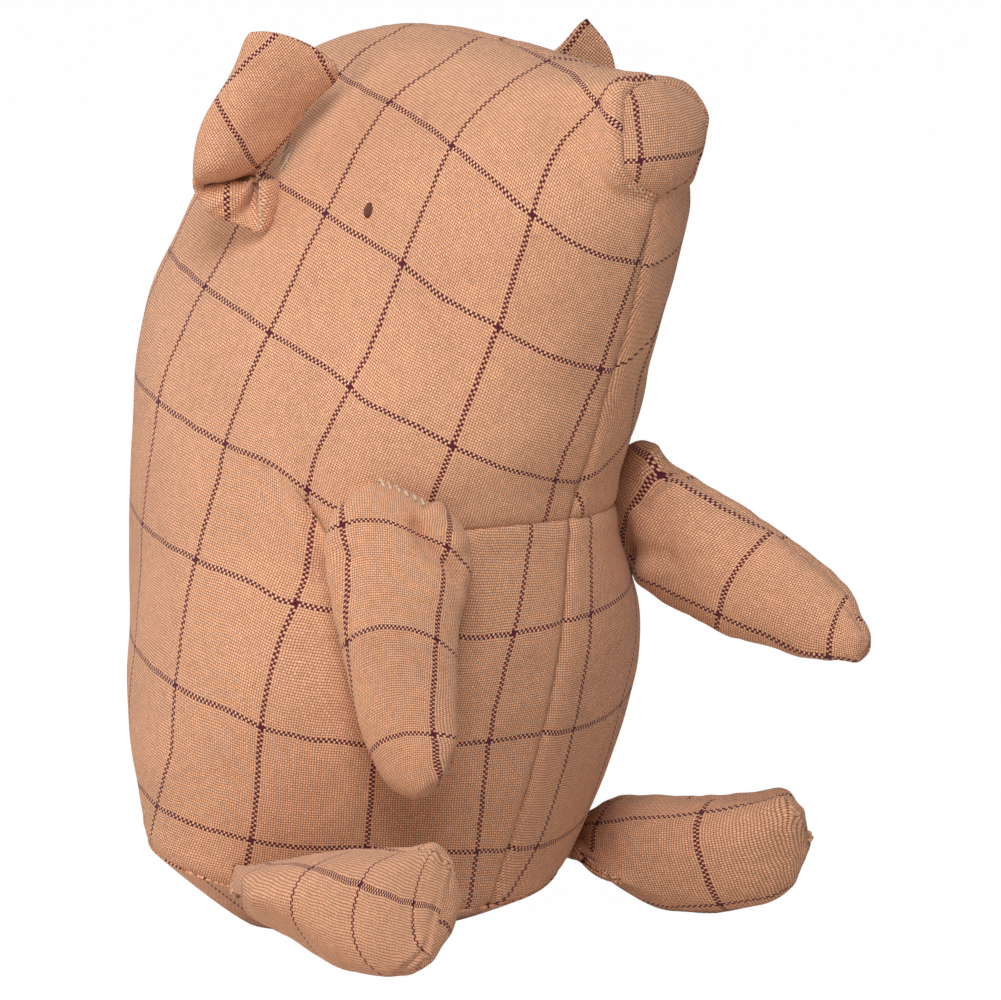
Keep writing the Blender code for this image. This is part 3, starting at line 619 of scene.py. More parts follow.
def turn_outward(mesh, middle):
    """Turn an open sheet's faces away from a point."""
    out = 0.0
    for face in mesh.faces:
        out += (face.calc_center_median() - middle).dot(face.normal) * face.calc_area()
    if out < 0.0:
        bmesh.ops.reverse_faces(mesh, faces=mesh.faces)


def grid_tree(grids):
    """Search tree of the grids' quads, and the grid, row and column of each quad."""
    verts, quads, places = [], [], []
    for g, points in enumerate(grids):
        rows, columns = points.shape[:2]
        start = len(verts)
        verts += points.reshape(-1, 3).tolist()
        for r in range(rows - 1):
            for c in range(columns - 1):
                a = start + r * columns + c
                quads.append((a, a + 1, a + columns + 1, a + columns))
                places.append((g, r, c))
    return BVHTree.FromPolygons(verts, quads), places


def cast(tree, places, grids, x, y):
    """Grid, row and column under a pixel, and the point there, or None."""
    point, _, index, _ = tree.ray_cast(CAMERA_PLACE, ray(x, y).normalized())
    if index is None:
        return None
    g, r, c = places[index]
    p = grids[g]
    corners = (r, c), (r, c + 1), (r + 1, c + 1), (r + 1, c)
    weights = poly_3d_calc([Vector(p[corner]) for corner in corners], point)
    return g, r + weights[2] + weights[3], c + weights[1] + weights[2], point


def bilinear(size, r, c):
    """The four nodes around a place in a grid, with their weights."""
    i = min(int(r), size[0] - 2)
    j = min(int(c), size[1] - 2)
    a, b = r - i, c - j
    return (
        ((i, j), (1 - a) * (1 - b)), ((i, j + 1), (1 - a) * b),
        ((i + 1, j), a * (1 - b)), ((i + 1, j + 1), a * b),
    )


def faces_camera(points, r, c, inside):
    """True where the outside of a sheet is what a look from the camera meets."""
    r, c = min(int(r), points.shape[0] - 2), min(int(c), points.shape[1] - 2)
    out = np.cross(points[r, c + 1] - points[r, c], points[r + 1, c] - points[r, c])
    return (out * np.sign(out @ (points[r, c] - inside))) @ np.array(FORWARD) < 0


NODE_STEP = 7
TURN_STEPS = 721
STIFFNESS = 0.35
CALM = 0.03
SLACK = 0.002


def check_points(grids, lines, inside):
    tree, places = grid_tree(grids)
    seen = []
    for axis, number, path in lines:
        for x, y in path:
            hit = cast(tree, places, grids, x, y)
            if hit is not None and faces_camera(grids[hit[0]], hit[1], hit[2], inside):
                seen.append((axis, (number if axis == 0 else -number) * CHECK_PITCH, hit))
    return seen


def right_way_round(grids, flats, inside):
    """Copies of the flat places, mirrored where they would lay the cloth wrong side out."""
    flats = [f.copy() for f in flats]
    f, p = flats[0], grids[0]
    r, c = p.shape[0] // 2, p.shape[1] // 2
    out = np.cross(p[r, c + 1] - p[r, c], p[r + 1, c] - p[r, c]) @ (p[r, c] - inside)
    u, v = f[r, c + 1] - f[r, c], f[r + 1, c] - f[r, c]
    if (u[0] * v[1] - u[1] * v[0]) * out < 0:
        for f in flats:
            f[..., 1] *= -1
    return flats


def best_turn(spots, kind, value):
    """Turn and shift that bring the spots nearest to their lines, and what each spot still misses."""
    best = None
    for angle in np.linspace(0, 2 * math.pi, TURN_STEPS):
        a, b = math.cos(angle), math.sin(angle)
        turned = spots @ np.array([[a, b], [-b, a]])
        miss = value - np.where(kind == 0, turned[:, 0], turned[:, 1])
        shift = [miss[kind == k].mean() if (kind == k).any() else 0.0 for k in (0, 1)]
        miss = miss - np.where(kind == 0, shift[0], shift[1])
        score = (miss ** 2).sum()
        if best is None or score < best[0]:
            best = score, np.array([[a, b], [-b, a]]), shift, miss
    return best[1:]


def coarse_nodes(grids, weld_from):
    """Tables of node numbers over the grids, shared at a weld, and every run of three nodes."""
    tables, count = [], 0
    for points in grids:
        size = [max(4, int(round((n - 1) / NODE_STEP)) + 1) for n in points.shape[:2]]
        tables.append(np.arange(count, count + size[0] * size[1]).reshape(size))
        count += size[0] * size[1]
    if weld_from is not None:
        first = int(math.ceil(weld_from / (grids[0].shape[1] - 1) * (tables[0].shape[1] - 1)))
        tables[1][0, first:] = tables[0][-1, first:]
    runs = [line[k:k + 3] for line in node_lines(tables) for k in range(len(line) - 2)]
    if weld_from is not None:
        for c in range(first, tables[0].shape[1]):
            runs.append((tables[0][-2, c], tables[0][-1, c], tables[1][1, c]))
    return tables, count, runs


def node_lines(tables):
    """The rows and then the columns of each table of nodes."""
    return [line for table in tables for view in (table, table.T) for line in view]


def lay_check(grids, flats, lines, weld_from=None, inside=MIDDLE, stiffness=STIFFNESS, calm=CALM):
    """Move flat places onto the cloth so that the check's lines run where they are seen.

    A turn and a shift come first. What they miss is then spread over the cloth as smoothly as it
    goes, but not across an open seam. Grids 0 and 1 are one cloth from the column weld_from on.
    """
    seen = check_points(grids, lines, inside)
    flats = right_way_round(grids, flats, inside)
    spots = np.array([
        sum(w * flats[g][k] for k, w in bilinear(flats[g].shape, r, c)) for _, _, (g, r, c, _) in seen
    ])
    turn, shift, miss = best_turn(spots, *(np.array([point[k] for point in seen]) for k in (0, 1)))
    placed = [f @ turn + shift for f in flats]
    tables, count, runs = coarse_nodes(grids, weld_from)
    pairs = [line[k:k + 2] for line in node_lines(tables) for k in range(len(line) - 1)]
    system = []
    for nodes, weights in (
        *((run, (stiffness, -2 * stiffness, stiffness)) for run in runs),
        *((pair, (calm, -calm)) for pair in pairs),
    ):
        row = np.zeros(count)
        row[list(nodes)] = weights
        system.append(row)
    system = np.vstack([*system, np.eye(count) * SLACK])
    normal = system.T @ system
    for axis in (0, 1):
        matrix, right = normal.copy(), np.zeros(count)
        for (kind, _, (g, r, c, _)), rest in zip(seen, miss):
            if kind != axis:
                continue
            size = tables[g].shape
            r = r / (grids[g].shape[0] - 1) * (size[0] - 1)
            c = c / (grids[g].shape[1] - 1) * (size[1] - 1)
            row = np.zeros(count)
            for k, w in bilinear(size, r, c):
                row[tables[g][k]] += w
            matrix += np.outer(row, row)
            right += row * rest
        pull = np.linalg.solve(matrix, right)
        for g, points in enumerate(grids):
            placed[g][..., axis] += refine(pull[tables[g]][..., None], *points.shape[:2])[..., 0]
    return placed


# ---- creases drawn over the photograph

def stroke(points, normals, line, width, depth):
    """Displacement of a crease or fold drawn in pixels, on what faces the camera."""
    seen = pixels(points)
    line = spline(line, np.linspace(0, 1, 40))
    flat = seen.reshape(-1, 2)
    away = np.full(len(flat), 1e9)
    place = np.zeros(len(flat))
    for k in range(len(line) - 1):
        a, b = line[k], line[k + 1]
        step = b - a
        t = np.clip(((flat - a) @ step) / max(step @ step, 1e-9), 0, 1)
        gap = np.hypot(*(flat - a - t[:, None] * step).T)
        better = gap < away
        away[better] = gap[better]
        place[better] = (k + t[better]) / (len(line) - 1)
    fade = smooth_step(place / 0.18) * smooth_step((1 - place) / 0.18)
    facing = np.clip(-(normals.reshape(-1, 3) @ np.array(FORWARD)) * 4, 0, 1)
    amount = depth * np.exp(-(away / width) ** 2) * fade * facing
    return amount.reshape(points.shape[:-1])


# ---- materials

def node(tree, kind, **values):
    """A shader node with its named settings and inputs."""
    made = tree.nodes.new(kind)
    for key, value in values.items():
        if hasattr(made, key):
            setattr(made, key, value)
        else:
            made.inputs[key].default_value = value
    return made


def math_node(tree, operation, a, b=None, c=None):
    """Math node fed by sockets or numbers; returns its output."""
    made = tree.nodes.new("ShaderNodeMath")
    made.operation = operation
    for i, value in enumerate((a, b, c)):
        if value is None:
            continue
        if isinstance(value, (int, float)):
            made.inputs[i].default_value = value
        else:
            tree.links.new(value, made.inputs[i])
    return made.outputs[0]


def new_material(name, roughness):
    """A material with its node tree and its shader."""
    material = bpy.data.materials.new(name)
    material.use_nodes = True
    shader = material.node_tree.nodes["Principled BSDF"]
    shader.inputs["Roughness"].default_value = roughness
    return material, material.node_tree, shader


def linear(colour):
    """Linear colour from sRGB numbers up to 255."""
    out = []
    for c in colour:
        c /= 255
        out.append(c / 12.92 if c <= 0.04045 else ((c + 0.055) / 1.055) ** 2.4)
    return (*out, 1.0)


def mix_colour(tree, factor, a, b, blend="MIX"):
    """Mix of two colours, each a socket or an sRGB triple."""
    made = tree.nodes.new("ShaderNodeMix")
    made.data_type = "RGBA"
    made.blend_type = blend
    for socket, value in ((made.inputs[0], factor), (made.inputs[6], a), (made.inputs[7], b)):
        if isinstance(value, (tuple, list)):
            socket.default_value = linear(value)
        elif isinstance(value, (int, float)):
            socket.default_value = value
        else:
            tree.links.new(value, socket)
    return made.outputs[2]


GROUND_WARP = (248, 194, 158)
GROUND_WEFT = (236, 178, 142)
# Painted shade for the low gaps between the threads, on the ground and on the plum lines
HOLE_SHADE = (88, 30, 8)
PLUM = (96, 28, 50)
PLUM_HOLE_SHADE = (56, 18, 30)
PALE_THREAD = (240, 224, 200)
EYE_THREAD = (104, 50, 32)
FIBRE = (232, 230, 222)
POUCH = (205, 198, 186)
FLOOR_COLOUR = (0.80, 0.74, 0.68, 1)


def linen_material(name):
    """Plain-woven linen with a windowpane check of two plum threads each way, with painted shade in the
    gaps between its threads.
    """
    material, tree, shader = new_material(name, 0.9)
    join = tree.links.new
    calc = partial(math_node, tree)
    place = node(tree, "ShaderNodeUVMap", uv_map="UVMap")
    wander = node(tree, "ShaderNodeTexNoise", Scale=160.0, Detail=1.0)
    join(place.outputs[0], wander.inputs["Vector"])
    split = tree.nodes.new("ShaderNodeSeparateXYZ")
    join(place.outputs[0], split.inputs[0])
    sway = tree.nodes.new("ShaderNodeSeparateXYZ")
    join(wander.outputs["Color"], sway.inputs[0])
    pitch = THREADS_PER_CHECK / CHECK_PITCH

    def thread_place(axis):
        count = calc("MULTIPLY", split.outputs[axis], pitch)
        shift = calc("MULTIPLY_ADD", sway.outputs[axis], 1.5, THREADS_PER_CHECK * 100 + 0.25)
        return calc("ADD", count, shift)

    u, v = thread_place(0), thread_place(1)
    i, j = calc("FLOOR", u), calc("FLOOR", v)
    fu, fv = calc("FRACT", u), calc("FRACT", v)

    def crown(f):
        side = calc("MULTIPLY_ADD", f, 2.0, -1.0)
        return calc("SUBTRACT", 1.0, calc("MULTIPLY", side, side))

    def sign(index):
        return calc("MULTIPLY_ADD", calc("MODULO", index, 2.0), -2.0, 1.0)

    def rise(along, index, way):
        wave = calc("SINE", calc("MULTIPLY", along, math.pi))
        return calc("MULTIPLY", calc("MULTIPLY", wave, sign(index)), way)

    def thread_height(f, along, index, way):
        wave = calc("MULTIPLY", rise(along, index, way), THREAD_WAVE)
        return calc("MULTIPLY_ADD", crown(f), THREAD_CROWN, wave)

    warp, weft = thread_height(fu, v, i, 1.0), thread_height(fv, u, j, -1.0)
    height = calc("MAXIMUM", warp, weft)
    warp_up = calc("GREATER_THAN", warp, weft)

    def thread_noise(index, along, seed):
        spot = tree.nodes.new("ShaderNodeCombineXYZ")
        join(calc("MULTIPLY", index, 7.31), spot.inputs[0])
        join(calc("MULTIPLY", along, 0.22), spot.inputs[1])
        spot.inputs[2].default_value = seed
        noise = node(tree, "ShaderNodeTexNoise", Scale=1.0, Detail=2.0)
        join(spot.outputs[0], noise.inputs["Vector"])
        return noise.outputs[0]

    tone = node(tree, "ShaderNodeMix", data_type="FLOAT")
    join(warp_up, tone.inputs[0])
    join(thread_noise(j, u, 3.0), tone.inputs[2])
    join(thread_noise(i, v, 8.0), tone.inputs[3])
    ground = mix_colour(tree, warp_up, GROUND_WEFT, GROUND_WARP)

    def is_plum(index):
        return calc("LESS_THAN", calc("MODULO", index, float(THREADS_PER_CHECK)), PLUM_THREADS)

    plum_up = node(tree, "ShaderNodeMix", data_type="FLOAT")
    join(warp_up, plum_up.inputs[0])
    join(is_plum(j), plum_up.inputs[2])
    join(is_plum(i), plum_up.inputs[3])
    thread = mix_colour(tree, plum_up.outputs[0], ground, PLUM)
    # Painted shade: the lower a place of the weave, the more it takes the dark gap colour
    depth = node(tree, "ShaderNodeMapRange")
    join(height, depth.inputs[0])
    depth.inputs[1].default_value = 0.20
    depth.inputs[2].default_value = 0.80
    depth.clamp = True
    hole_shade = mix_colour(tree, plum_up.outputs[0], HOLE_SHADE, PLUM_HOLE_SHADE)
    woven = mix_colour(tree, depth.outputs[0], hole_shade, thread)
    patch = node(tree, "ShaderNodeTexNoise", Scale=45.0, Detail=3.0)
    join(place.outputs[0], patch.inputs["Vector"])
    blotch = calc("MULTIPLY_ADD", patch.outputs[0], 0.26, 0.47)
    shade = calc("ADD", calc("MULTIPLY", tone.outputs[0], 0.8), blotch)
    grey = tree.nodes.new("ShaderNodeCombineColor")
    for k in range(3):
        join(shade, grey.inputs[k])
    coloured = mix_colour(tree, 1.0, woven, grey.outputs[0], "MULTIPLY")
    join(coloured, shader.inputs["Base Color"])
    shader.inputs["Specular IOR Level"].default_value = 0.25
    shader.inputs["Sheen Weight"].default_value = 0.12
    shader.inputs["Sheen Roughness"].default_value = 0.5
    bump = node(tree, "ShaderNodeBump", Strength=0.75, Distance=THREAD_BUMP)
    join(calc("ADD", height, calc("MULTIPLY", tone.outputs[0], 0.5)), bump.inputs["Height"])
    join(bump.outputs[0], shader.inputs["Normal"])
    return material


LINEN = linen_material("checked_linen")


# ---- body

SEAM_DEPTH = 0.8 * MM
SEAM_WIDTH = 1.1 * MM
DART_SEAM_DEPTH = 0.6 * MM
BASE_SEAM_DEPTH = 0.5 * MM
SNOUT_SEAM_DEPTH = 1.5 * MM
SNOUT_PUCKER = 0.26 * MM
LIMB_SEAM_DEPTH = 0.35 * MM
LIMB_PUCKER = 0.3 * MM


def seam_dip(away, along, seed, depth=SEAM_DEPTH, pucker=0.28 * MM):
    """Valley beside a seam, with the small puckers that its stitches draw."""
    dip = -depth * np.exp(-away / SEAM_WIDTH)
    reach = np.exp(-away / (5.0 * MM)) * (1 - np.exp(-away / (0.9 * MM)))
    folds = line_noise(along / (2.6 * MM), seed) + 0.6 * line_noise(along / (5.5 * MM), seed + 1)
    return dip + pucker * reach * folds + 0.25 * MM * np.exp(-((away - 3.5 * MM) / (2.2 * MM)) ** 2)


DART = np.array([body_place(x, y) for x, y in DART_PIXELS])
DART[0, 1] = 0.0
DART_TIP = DART[-1, 1]
LOWER_ROWS, UPPER_ROWS, PANEL_COLUMNS = 84, 120, 110
COARSE = 6


def panel_places(rows_lower, rows_upper, columns):
    """s and phi of the two grids of a side panel, which meet on the row of the dart."""
    tip = int(round(columns * DART_TIP / math.pi))
    share = np.concatenate([
        np.linspace(0, DART_TIP, tip + 1), np.linspace(DART_TIP, math.pi, columns - tip + 1)[1:],
    ])
    order = np.argsort(DART[:, 1])
    joint = np.interp(share, DART[order, 1], DART[order, 0])
    rest = smooth_step((share - DART_TIP) / (math.pi - DART_TIP) * 1.6)
    joint = np.where(share > DART_TIP, DART[-1, 0] + (DART[0, 0] - DART[-1, 0]) * rest, joint)
    if columns == PANEL_COLUMNS:
        joint = smoothed(joint, 3)
    lower = np.linspace(0, 1, rows_lower + 1)[:, None] * joint[None, :]
    upper = joint[None, :] + np.linspace(0, 1, rows_upper + 1)[:, None] * (1 - joint[None, :])
    phi_lower = np.repeat(share[None, :], rows_lower + 1, axis=0)
    phi_upper = np.repeat(share[None, :], rows_upper + 1, axis=0)
    return (lower, phi_lower), (upper, phi_upper), tip


# Depth of the waist that the dart draws in below the arm, on the right and on the left
WAIST_DEPTH = (0.6 * MM, 9.2 * MM)
WAIST_REACH = 19.0 * MM
WAIST_LIFT = 2.0 * MM
BODY_STROKES = (
    # pixel line, width in pixels, depth
    (((300, 500), (314, 528), (322, 556), (322, 590)), 9, -2.2 * MM),
    (((228, 447), (262, 452), (290, 472), (300, 505)), 9, 1.3 * MM),
    (((284, 505), (300, 535), (309, 575)), 10, 1.0 * MM),
)


def waist_dip(points, phi):
    """Depth of the waist below the arms at points of the body; phi is positive on the right."""
    turned = (phi + math.pi) % (2 * math.pi) - math.pi
    away = np.abs(turned)
    level = body_points(np.interp(away, DART[:, 1], DART[:, 0]), turned)[..., 2]
    reach = smooth_step((away - 0.08) / 0.62) * smooth_step((2.3 - away) / 1.1)
    depth = np.where(turned > 0, *WAIST_DEPTH)
    return depth * reach * np.exp(-((points[..., 2] - level - WAIST_LIFT) / WAIST_REACH) ** 2)


def make_side_panel(side, name, solid, lines, seed):
    """One half of head and body, with its dart, seams and puckers."""
    lower, upper, tip = panel_places(LOWER_ROWS, UPPER_ROWS, PANEL_COLUMNS)
    grids = []
    for k, (s, phi) in enumerate((lower, upper)):
        points = body_points(s, phi * side)
        normals = outward_normals(points, MIDDLE)
        front, back = edge_distance(points, 1)
        low, high = edge_distance(points, 0)
        run = low if k == 0 else high
        move = seam_dip(front, run, seed) + seam_dip(back, run, seed + 20)
        dart_fade = smooth_step((DART_TIP - phi) / 0.25)
        if k == 0:
            move += seam_dip(low, front, seed + 40, BASE_SEAM_DEPTH)
            move += seam_dip(high, front, seed + 60, DART_SEAM_DEPTH) * dart_fade
        else:
            move += seam_dip(high, front, seed + 80, SNOUT_SEAM_DEPTH, SNOUT_PUCKER)
            lip = smooth_step((phi - 0.5) / 0.5) * smooth_step((2.9 - phi) / 0.5)
            move += 1.0 * MM * lip * np.exp(-((high - 3.0 * MM) / (2.0 * MM)) ** 2)
            move += seam_dip(low, front, seed + 60, DART_SEAM_DEPTH) * dart_fade
        calm = smooth_step(np.minimum(np.minimum(front, back), run) / (6 * MM))
        move += 0.55 * MM * lumps(points, 26 * MM, seed + 5) * calm
        move += 0.18 * MM * lumps(points, 9 * MM, seed + 6) * calm
        move -= waist_dip(points, phi * side)
        if side > 0:
            for line, width, depth in BODY_STROKES:
                move += stroke(points, normals, line, width, depth)
        grids.append(points + normals * move[..., None])
    coarse = panel_places(LOWER_ROWS // COARSE, UPPER_ROWS // COARSE, PANEL_COLUMNS // 5)[:2]
    small = [body_points(s, phi * side) for s, phi in coarse]
    welds = [((0, LOWER_ROWS // COARSE, c), (1, 0, c)) for c in range(small[0].shape[1])]
    flats = flatten(small, welds)
    flats = [refine(f, *g.shape[:2]) for f, g in zip(flats, grids)]
    for c in range(tip, PANEL_COLUMNS + 1):
        middle = (grids[0][-1, c] + grids[1][0, c]) / 2
        grids[0][-1, c] = middle
        grids[1][0, c] = middle
    flats = lay_check(grids, flats, lines, tip)
    welds = [((0, LOWER_ROWS, c), (1, 0, c)) for c in range(tip, PANEL_COLUMNS + 1)]
    thing = cloth_object(name, grids, flats, welds, MIDDLE, CLOTH_THICKNESS)
    stand_for(thing, "body", solid)
    return grids


SAME_PLACE = 0.001 * MM
DISC_SIDES = 160
SNOUT_BULGE = 4.4 * MM
SNOUT_TUCK = 0.92
SNOUT_DRAW = 2.3 * MM
SNOUT_STIFFNESS = 30.0
SNOUT_CALM = 3.0
# The base falls to the floor over this share of its reach, and in this curve
BASE_FALL = 0.45
BASE_ROUND = 1.15


def disc_grid(s, rows):
    """Grid from the ring of the body at s in to its middle."""
    phi = np.linspace(0, 2 * math.pi, DISC_SIDES + 1)
    ring = body_points(np.full_like(phi, s), phi)
    middle = ring[:-1].mean(axis=0)
    shares = np.linspace(0, 1, rows)
    return middle + (ring[None] - middle) * (1 - shares[:, None, None]), ring, shares, middle


def disc_object(name, solid, points, flats, inside):
    """Closed disc of cloth from its grid."""
    thing = cloth_object(name, [points], [flats], [], inside, CLOTH_THICKNESS, closed=True)
    stand_for(thing, "body", solid)


def make_snout():
    """Slightly domed disc of the snout, gathered a little at its seam."""
    points, ring, shares, middle = disc_grid(1.0, 36)
    points = middle + (points - middle) * SNOUT_TUCK
    away = np.linalg.norm(points - ring[None], axis=-1)
    along = edge_distance(ring[None], 1)[0]
    bulge = SNOUT_BULGE * (1 - (1 - shares) ** 2.4)[:, None] + SNOUT_DRAW * (1 - np.exp(-away / (1.3 * MM)))
    reach = np.exp(-away / (4 * MM)) * (1 - np.exp(-away / (0.8 * MM)))
    folds = 0.3 * MM * reach * line_noise(along / (3 * MM), 71)
    move = bulge + folds - SNOUT_DRAW + 0.2 * MM * lumps(points, 9 * MM, 72) * smooth_step(away / (3 * MM))
    points = points + np.array([0.0, -1.0, 0.0]) * move[..., None]
    spokes = (ring - middle)[:, [0, 2]]
    spokes /= np.linalg.norm(spokes, axis=1, keepdims=True)
    flats = edge_distance(points, 0)[1][..., None] * spokes[None]
    inside = middle + (0, 0.03, 0)
    flats = lay_check([points], [flats], SNOUT_LINES, None, inside, SNOUT_STIFFNESS, SNOUT_CALM)[0]
    flats[-1] = flats[-1].mean(axis=0)
    disc_object("snout_disc", "snout_panel", points, flats, inside)
    return points


def make_base():
    """Domed panel under the body, flat where it rests on the floor."""
    points, ring, shares, _ = disc_grid(0.0, 40)
    fall = np.clip(1 - shares / BASE_FALL, 0, 1) ** BASE_ROUND
    points[..., 2] = ring[None, :, 2] * fall[:, None]
    disc_object("base_cloth", "base_panel", points, points[..., :2].copy(), (0.0, 0.0, 0.08))
    return points


def cloth_object(name, grids, flats, welds, inside, thickness, closed=False):
    """Object of checked linen from its grids, facing away from what lies inside."""
    mesh = cloth_mesh(grids, flats, welds)
    if closed:
        bmesh.ops.remove_doubles(mesh, verts=mesh.verts[:], dist=SAME_PLACE)
    mesh.normal_update()
    turn_outward(mesh, Vector(inside))
    return new_object(name, mesh, LINEN, thickness)


def closed_object(name, mesh, material):
    """Object from a mesh of closed rings, with its double points joined and its ends filled."""
    bmesh.ops.remove_doubles(mesh, verts=mesh.verts[:], dist=SAME_PLACE)
    bmesh.ops.holes_fill(mesh, edges=mesh.edges[:])
    bmesh.ops.recalc_face_normals(mesh, faces=mesh.faces[:])
    return new_object(name, mesh, material)


def closed_form(name, points, material):
    """Closed object from a grid of rings, with its two ends drawn together."""
    mesh = bmesh.new()
    add_grid(mesh, points)
    return closed_object(name, mesh, material)


def surface_tree(grids):
    """Search tree of the whole body's surface."""
    mesh = bmesh.new()
    for grid in grids:
        add_grid(mesh, grid[::2, ::2] if grid.shape[0] % 2 else grid)
    for face in mesh.faces:
        if face.normal.dot(face.calc_center_median() - Vector(MIDDLE)) < 0:
            face.normal_flip()
    mesh.normal_update()
    tree = BVHTree.FromBMesh(mesh)
    mesh.free()
    return tree


FILL_INSET = 4.0 * MM
FILL_LIFT = 3.0 * MM
FILL_ROWS = 30
# Top of the pellets, as a share of the way from base to snout
POUCH_TOP = 0.16


def make_fillings():
    """Fibre in the body and the pouch of pellets under it, inside the cloth."""
    fibre, pellets = plain_material("fibre", FIBRE), plain_material("pellet_pouch", POUCH)
    phi = np.repeat(np.linspace(0, 2 * math.pi, 49)[None], FILL_ROWS, axis=0)
    for name, solid, low, high, material in (
        ("fibre_filling", "body_stuffing", POUCH_TOP + 0.01, 0.985, fibre),
        ("pouch", "pellet_pouch", 0.02, POUCH_TOP, pellets),
    ):
        s = np.repeat(np.linspace(low, high, FILL_ROWS)[:, None], phi.shape[1], axis=1)
        points = body_points(s, phi)
        normals = outward_normals(points, MIDDLE)
        points = points - normals * (FILL_INSET + waist_dip(points, phi))[..., None]
        points[:, -1] = points[:, 0]
        points[..., 2] = np.maximum(points[..., 2], FILL_LIFT)
        stand_for(closed_form(name, points, material), "body", solid)


# ---- limbs

def limb_axes(place, aim, sewn_line):
    """Frame of a limb: across, depth and up, with its root."""
    down = np.array(aim, float)
    down /= np.linalg.norm(down)
    across = np.array(sewn_line, float)
    across -= down * (across @ down)
    across /= np.linalg.norm(across)
    depth = np.cross(-down, across)
    return np.array(place) * BODY_HEIGHT, np.stack([across, depth, -down])


LIMB_ROWS, LIMB_SIDES = 34, 48


def limb_form(frame_of_limb, form, sag):
    """Rings of a limb as a grid, closed to a seam at both ends."""
    root, axes = frame_of_limb
    sections, squareness, length = form
    u = 0.5 - 0.5 * np.cos(np.linspace(0, math.pi, LIMB_ROWS))
    u = 0.35 * u + 0.65 * np.linspace(0, 1, LIMB_ROWS)
    place, wide, deep, shift = spline(sections, u).T
    place = np.clip(place, 0, 1)
    place[0], place[-1] = 0.0, 1.0
    end = np.sqrt(np.clip(1 - ((place - 0.93) / 0.07).clip(0) ** 2, 0, 1))
    end = end * np.sqrt((place / 0.02).clip(0, 1))
    turn = np.linspace(0, 2 * math.pi, LIMB_SIDES + 1)
    c, s = np.cos(turn), np.sin(turn)
    c = np.sign(c) * np.abs(c) ** (2 / squareness)
    s = np.sign(s) * np.abs(s) ** (2 / squareness)
    x = wide[:, None] * c[None] + (shift - 2 * sag * np.sqrt(place) * (1 - place))[:, None]
    y = (deep * end)[:, None] * s[None]
    z = -place[:, None] * np.ones_like(c)[None]
    return root + (np.stack([x, y, z], axis=-1) * length) @ axes


PRESS_REACH = 20.0 * MM
PRESS_SWEEPS = 3
PRESS_EXTRA = 1.15


def press_clear(points, tree, root, swing, sewn):
    """Press a limb out of the body at every angle of its swing, in soft dents."""
    axis, angles = swing
    root = Vector(root)
    turns = []
    for angle in angles:
        rotation = Matrix.Rotation(math.radians(angle), 4, axis)
        turn = Matrix.Translation(root) @ rotation @ Matrix.Translation(-root)
        turns.append((turn, turn.inverted()))
    free = smooth_step((np.linspace(0, 1, points.shape[0]) - sewn) / SEWN_SHARE)
    for sweep in range(PRESS_SWEEPS):
        moved = points.copy()
        for r in range(points.shape[0]):
            for c in range(points.shape[1] - 1):
                p = Vector(points[r, c])
                for turn, back in turns if free[r] > 0 else ():
                    q = turn @ p
                    place, normal, _, gap = tree.find_nearest(q)
                    depth = (q - place).dot(normal)
                    if depth < LIMB_CLEARANCE and gap < PRESS_REACH:
                        p = back @ (q + normal * (LIMB_CLEARANCE - depth) * free[r])
                moved[r, c] = p
        moved[:, -1] = moved[:, 0]
        push = moved - points
        if sweep < PRESS_SWEEPS - 1:
            for _ in range(3):
                push = round_rings(push)
                push[1:-1] = (push[:-2] + 2 * push[1:-1] + push[2:]) / 4
            push *= PRESS_EXTRA
        points = points + push
    return points


def round_rings(points, own=2.0):
    """Closed rings with each point drawn toward its two neighbours; own is its own weight."""
    ring = points[:, :-1]
    ring = (np.roll(ring, 1, 1) + own * ring + np.roll(ring, -1, 1)) / (own + 2)
    return np.concatenate([ring, ring[:, :1]], axis=1)


def edge_reach(along, across, places):
    """Lowest and highest reach across at places along, smoothed a little."""
    low, high = np.full(len(places), np.nan), np.full(len(places), np.nan)
    step = places[1] - places[0]
    for k, place in enumerate(places):
        near = np.abs(along - place) < step * 1.2
        if near.any():
            low[k], high[k] = across[near].min(), across[near].max()
    good = ~np.isnan(low)
    ends = []
    for reach in (low, high):
        reach = np.interp(places, places[good], reach[good])
        ends.append(np.convolve(np.pad(reach, 2, mode="edge"), (0.1, 0.2, 0.4, 0.2, 0.1), "valid"))
    return ends


# Pixels that a tip keeps from the outline's end, and the rounds and strength of a limb's fit
TIP_FLAT = 2.5
FIT_ROUNDS = 4
FIT_SHARE = 0.8


def along_edge(edge, share):
    """Pixels at shares of an edge's length, from root to tip, on a smooth curve."""
    run = np.concatenate([[0], np.cumsum(np.linalg.norm(np.diff(edge, axis=0), axis=1))])
    fine = np.stack([np.interp(np.linspace(0, run[-1], 200), run, edge[:, k]) for k in (0, 1)], axis=-1)
    fine = [smoothed(line, 7, "reflect", reflect_type="odd") for line in fine.T]
    place = np.clip(share, 0, 1) * 199
    return np.stack([np.interp(place, np.arange(200), line) for line in fine], axis=-1)


def fit_rings(points, edges):
    """Move a limb's rings across the view so that each one spans the outline in the photograph."""
    edges = [np.array(e, float) for e in edges]
    seen = pixels(points)
    rings = seen[:, :-1].mean(axis=1)
    run = np.concatenate([[0], np.cumsum(np.linalg.norm(np.diff(rings, axis=0), axis=1))])
    first, second = along_edge(edges[0], run / run[-1]), along_edge(edges[1], run / run[-1])
    e = (edges[0][-1] - (edges[0][0] + edges[1][0]) / 2)
    e /= np.linalg.norm(e)
    f = np.array([-e[1], e[0]])
    across = seen @ f
    low, high = across.min(axis=1, keepdims=True), across.max(axis=1, keepdims=True)
    mix = (across - low) / np.maximum(high - low, 1e-6)
    if (second - first).sum(axis=0) @ f < 0:
        first, second = second, first
    goal = first[:, None] + (second - first)[:, None] * mix[..., None]
    return move_across(points, goal - seen)


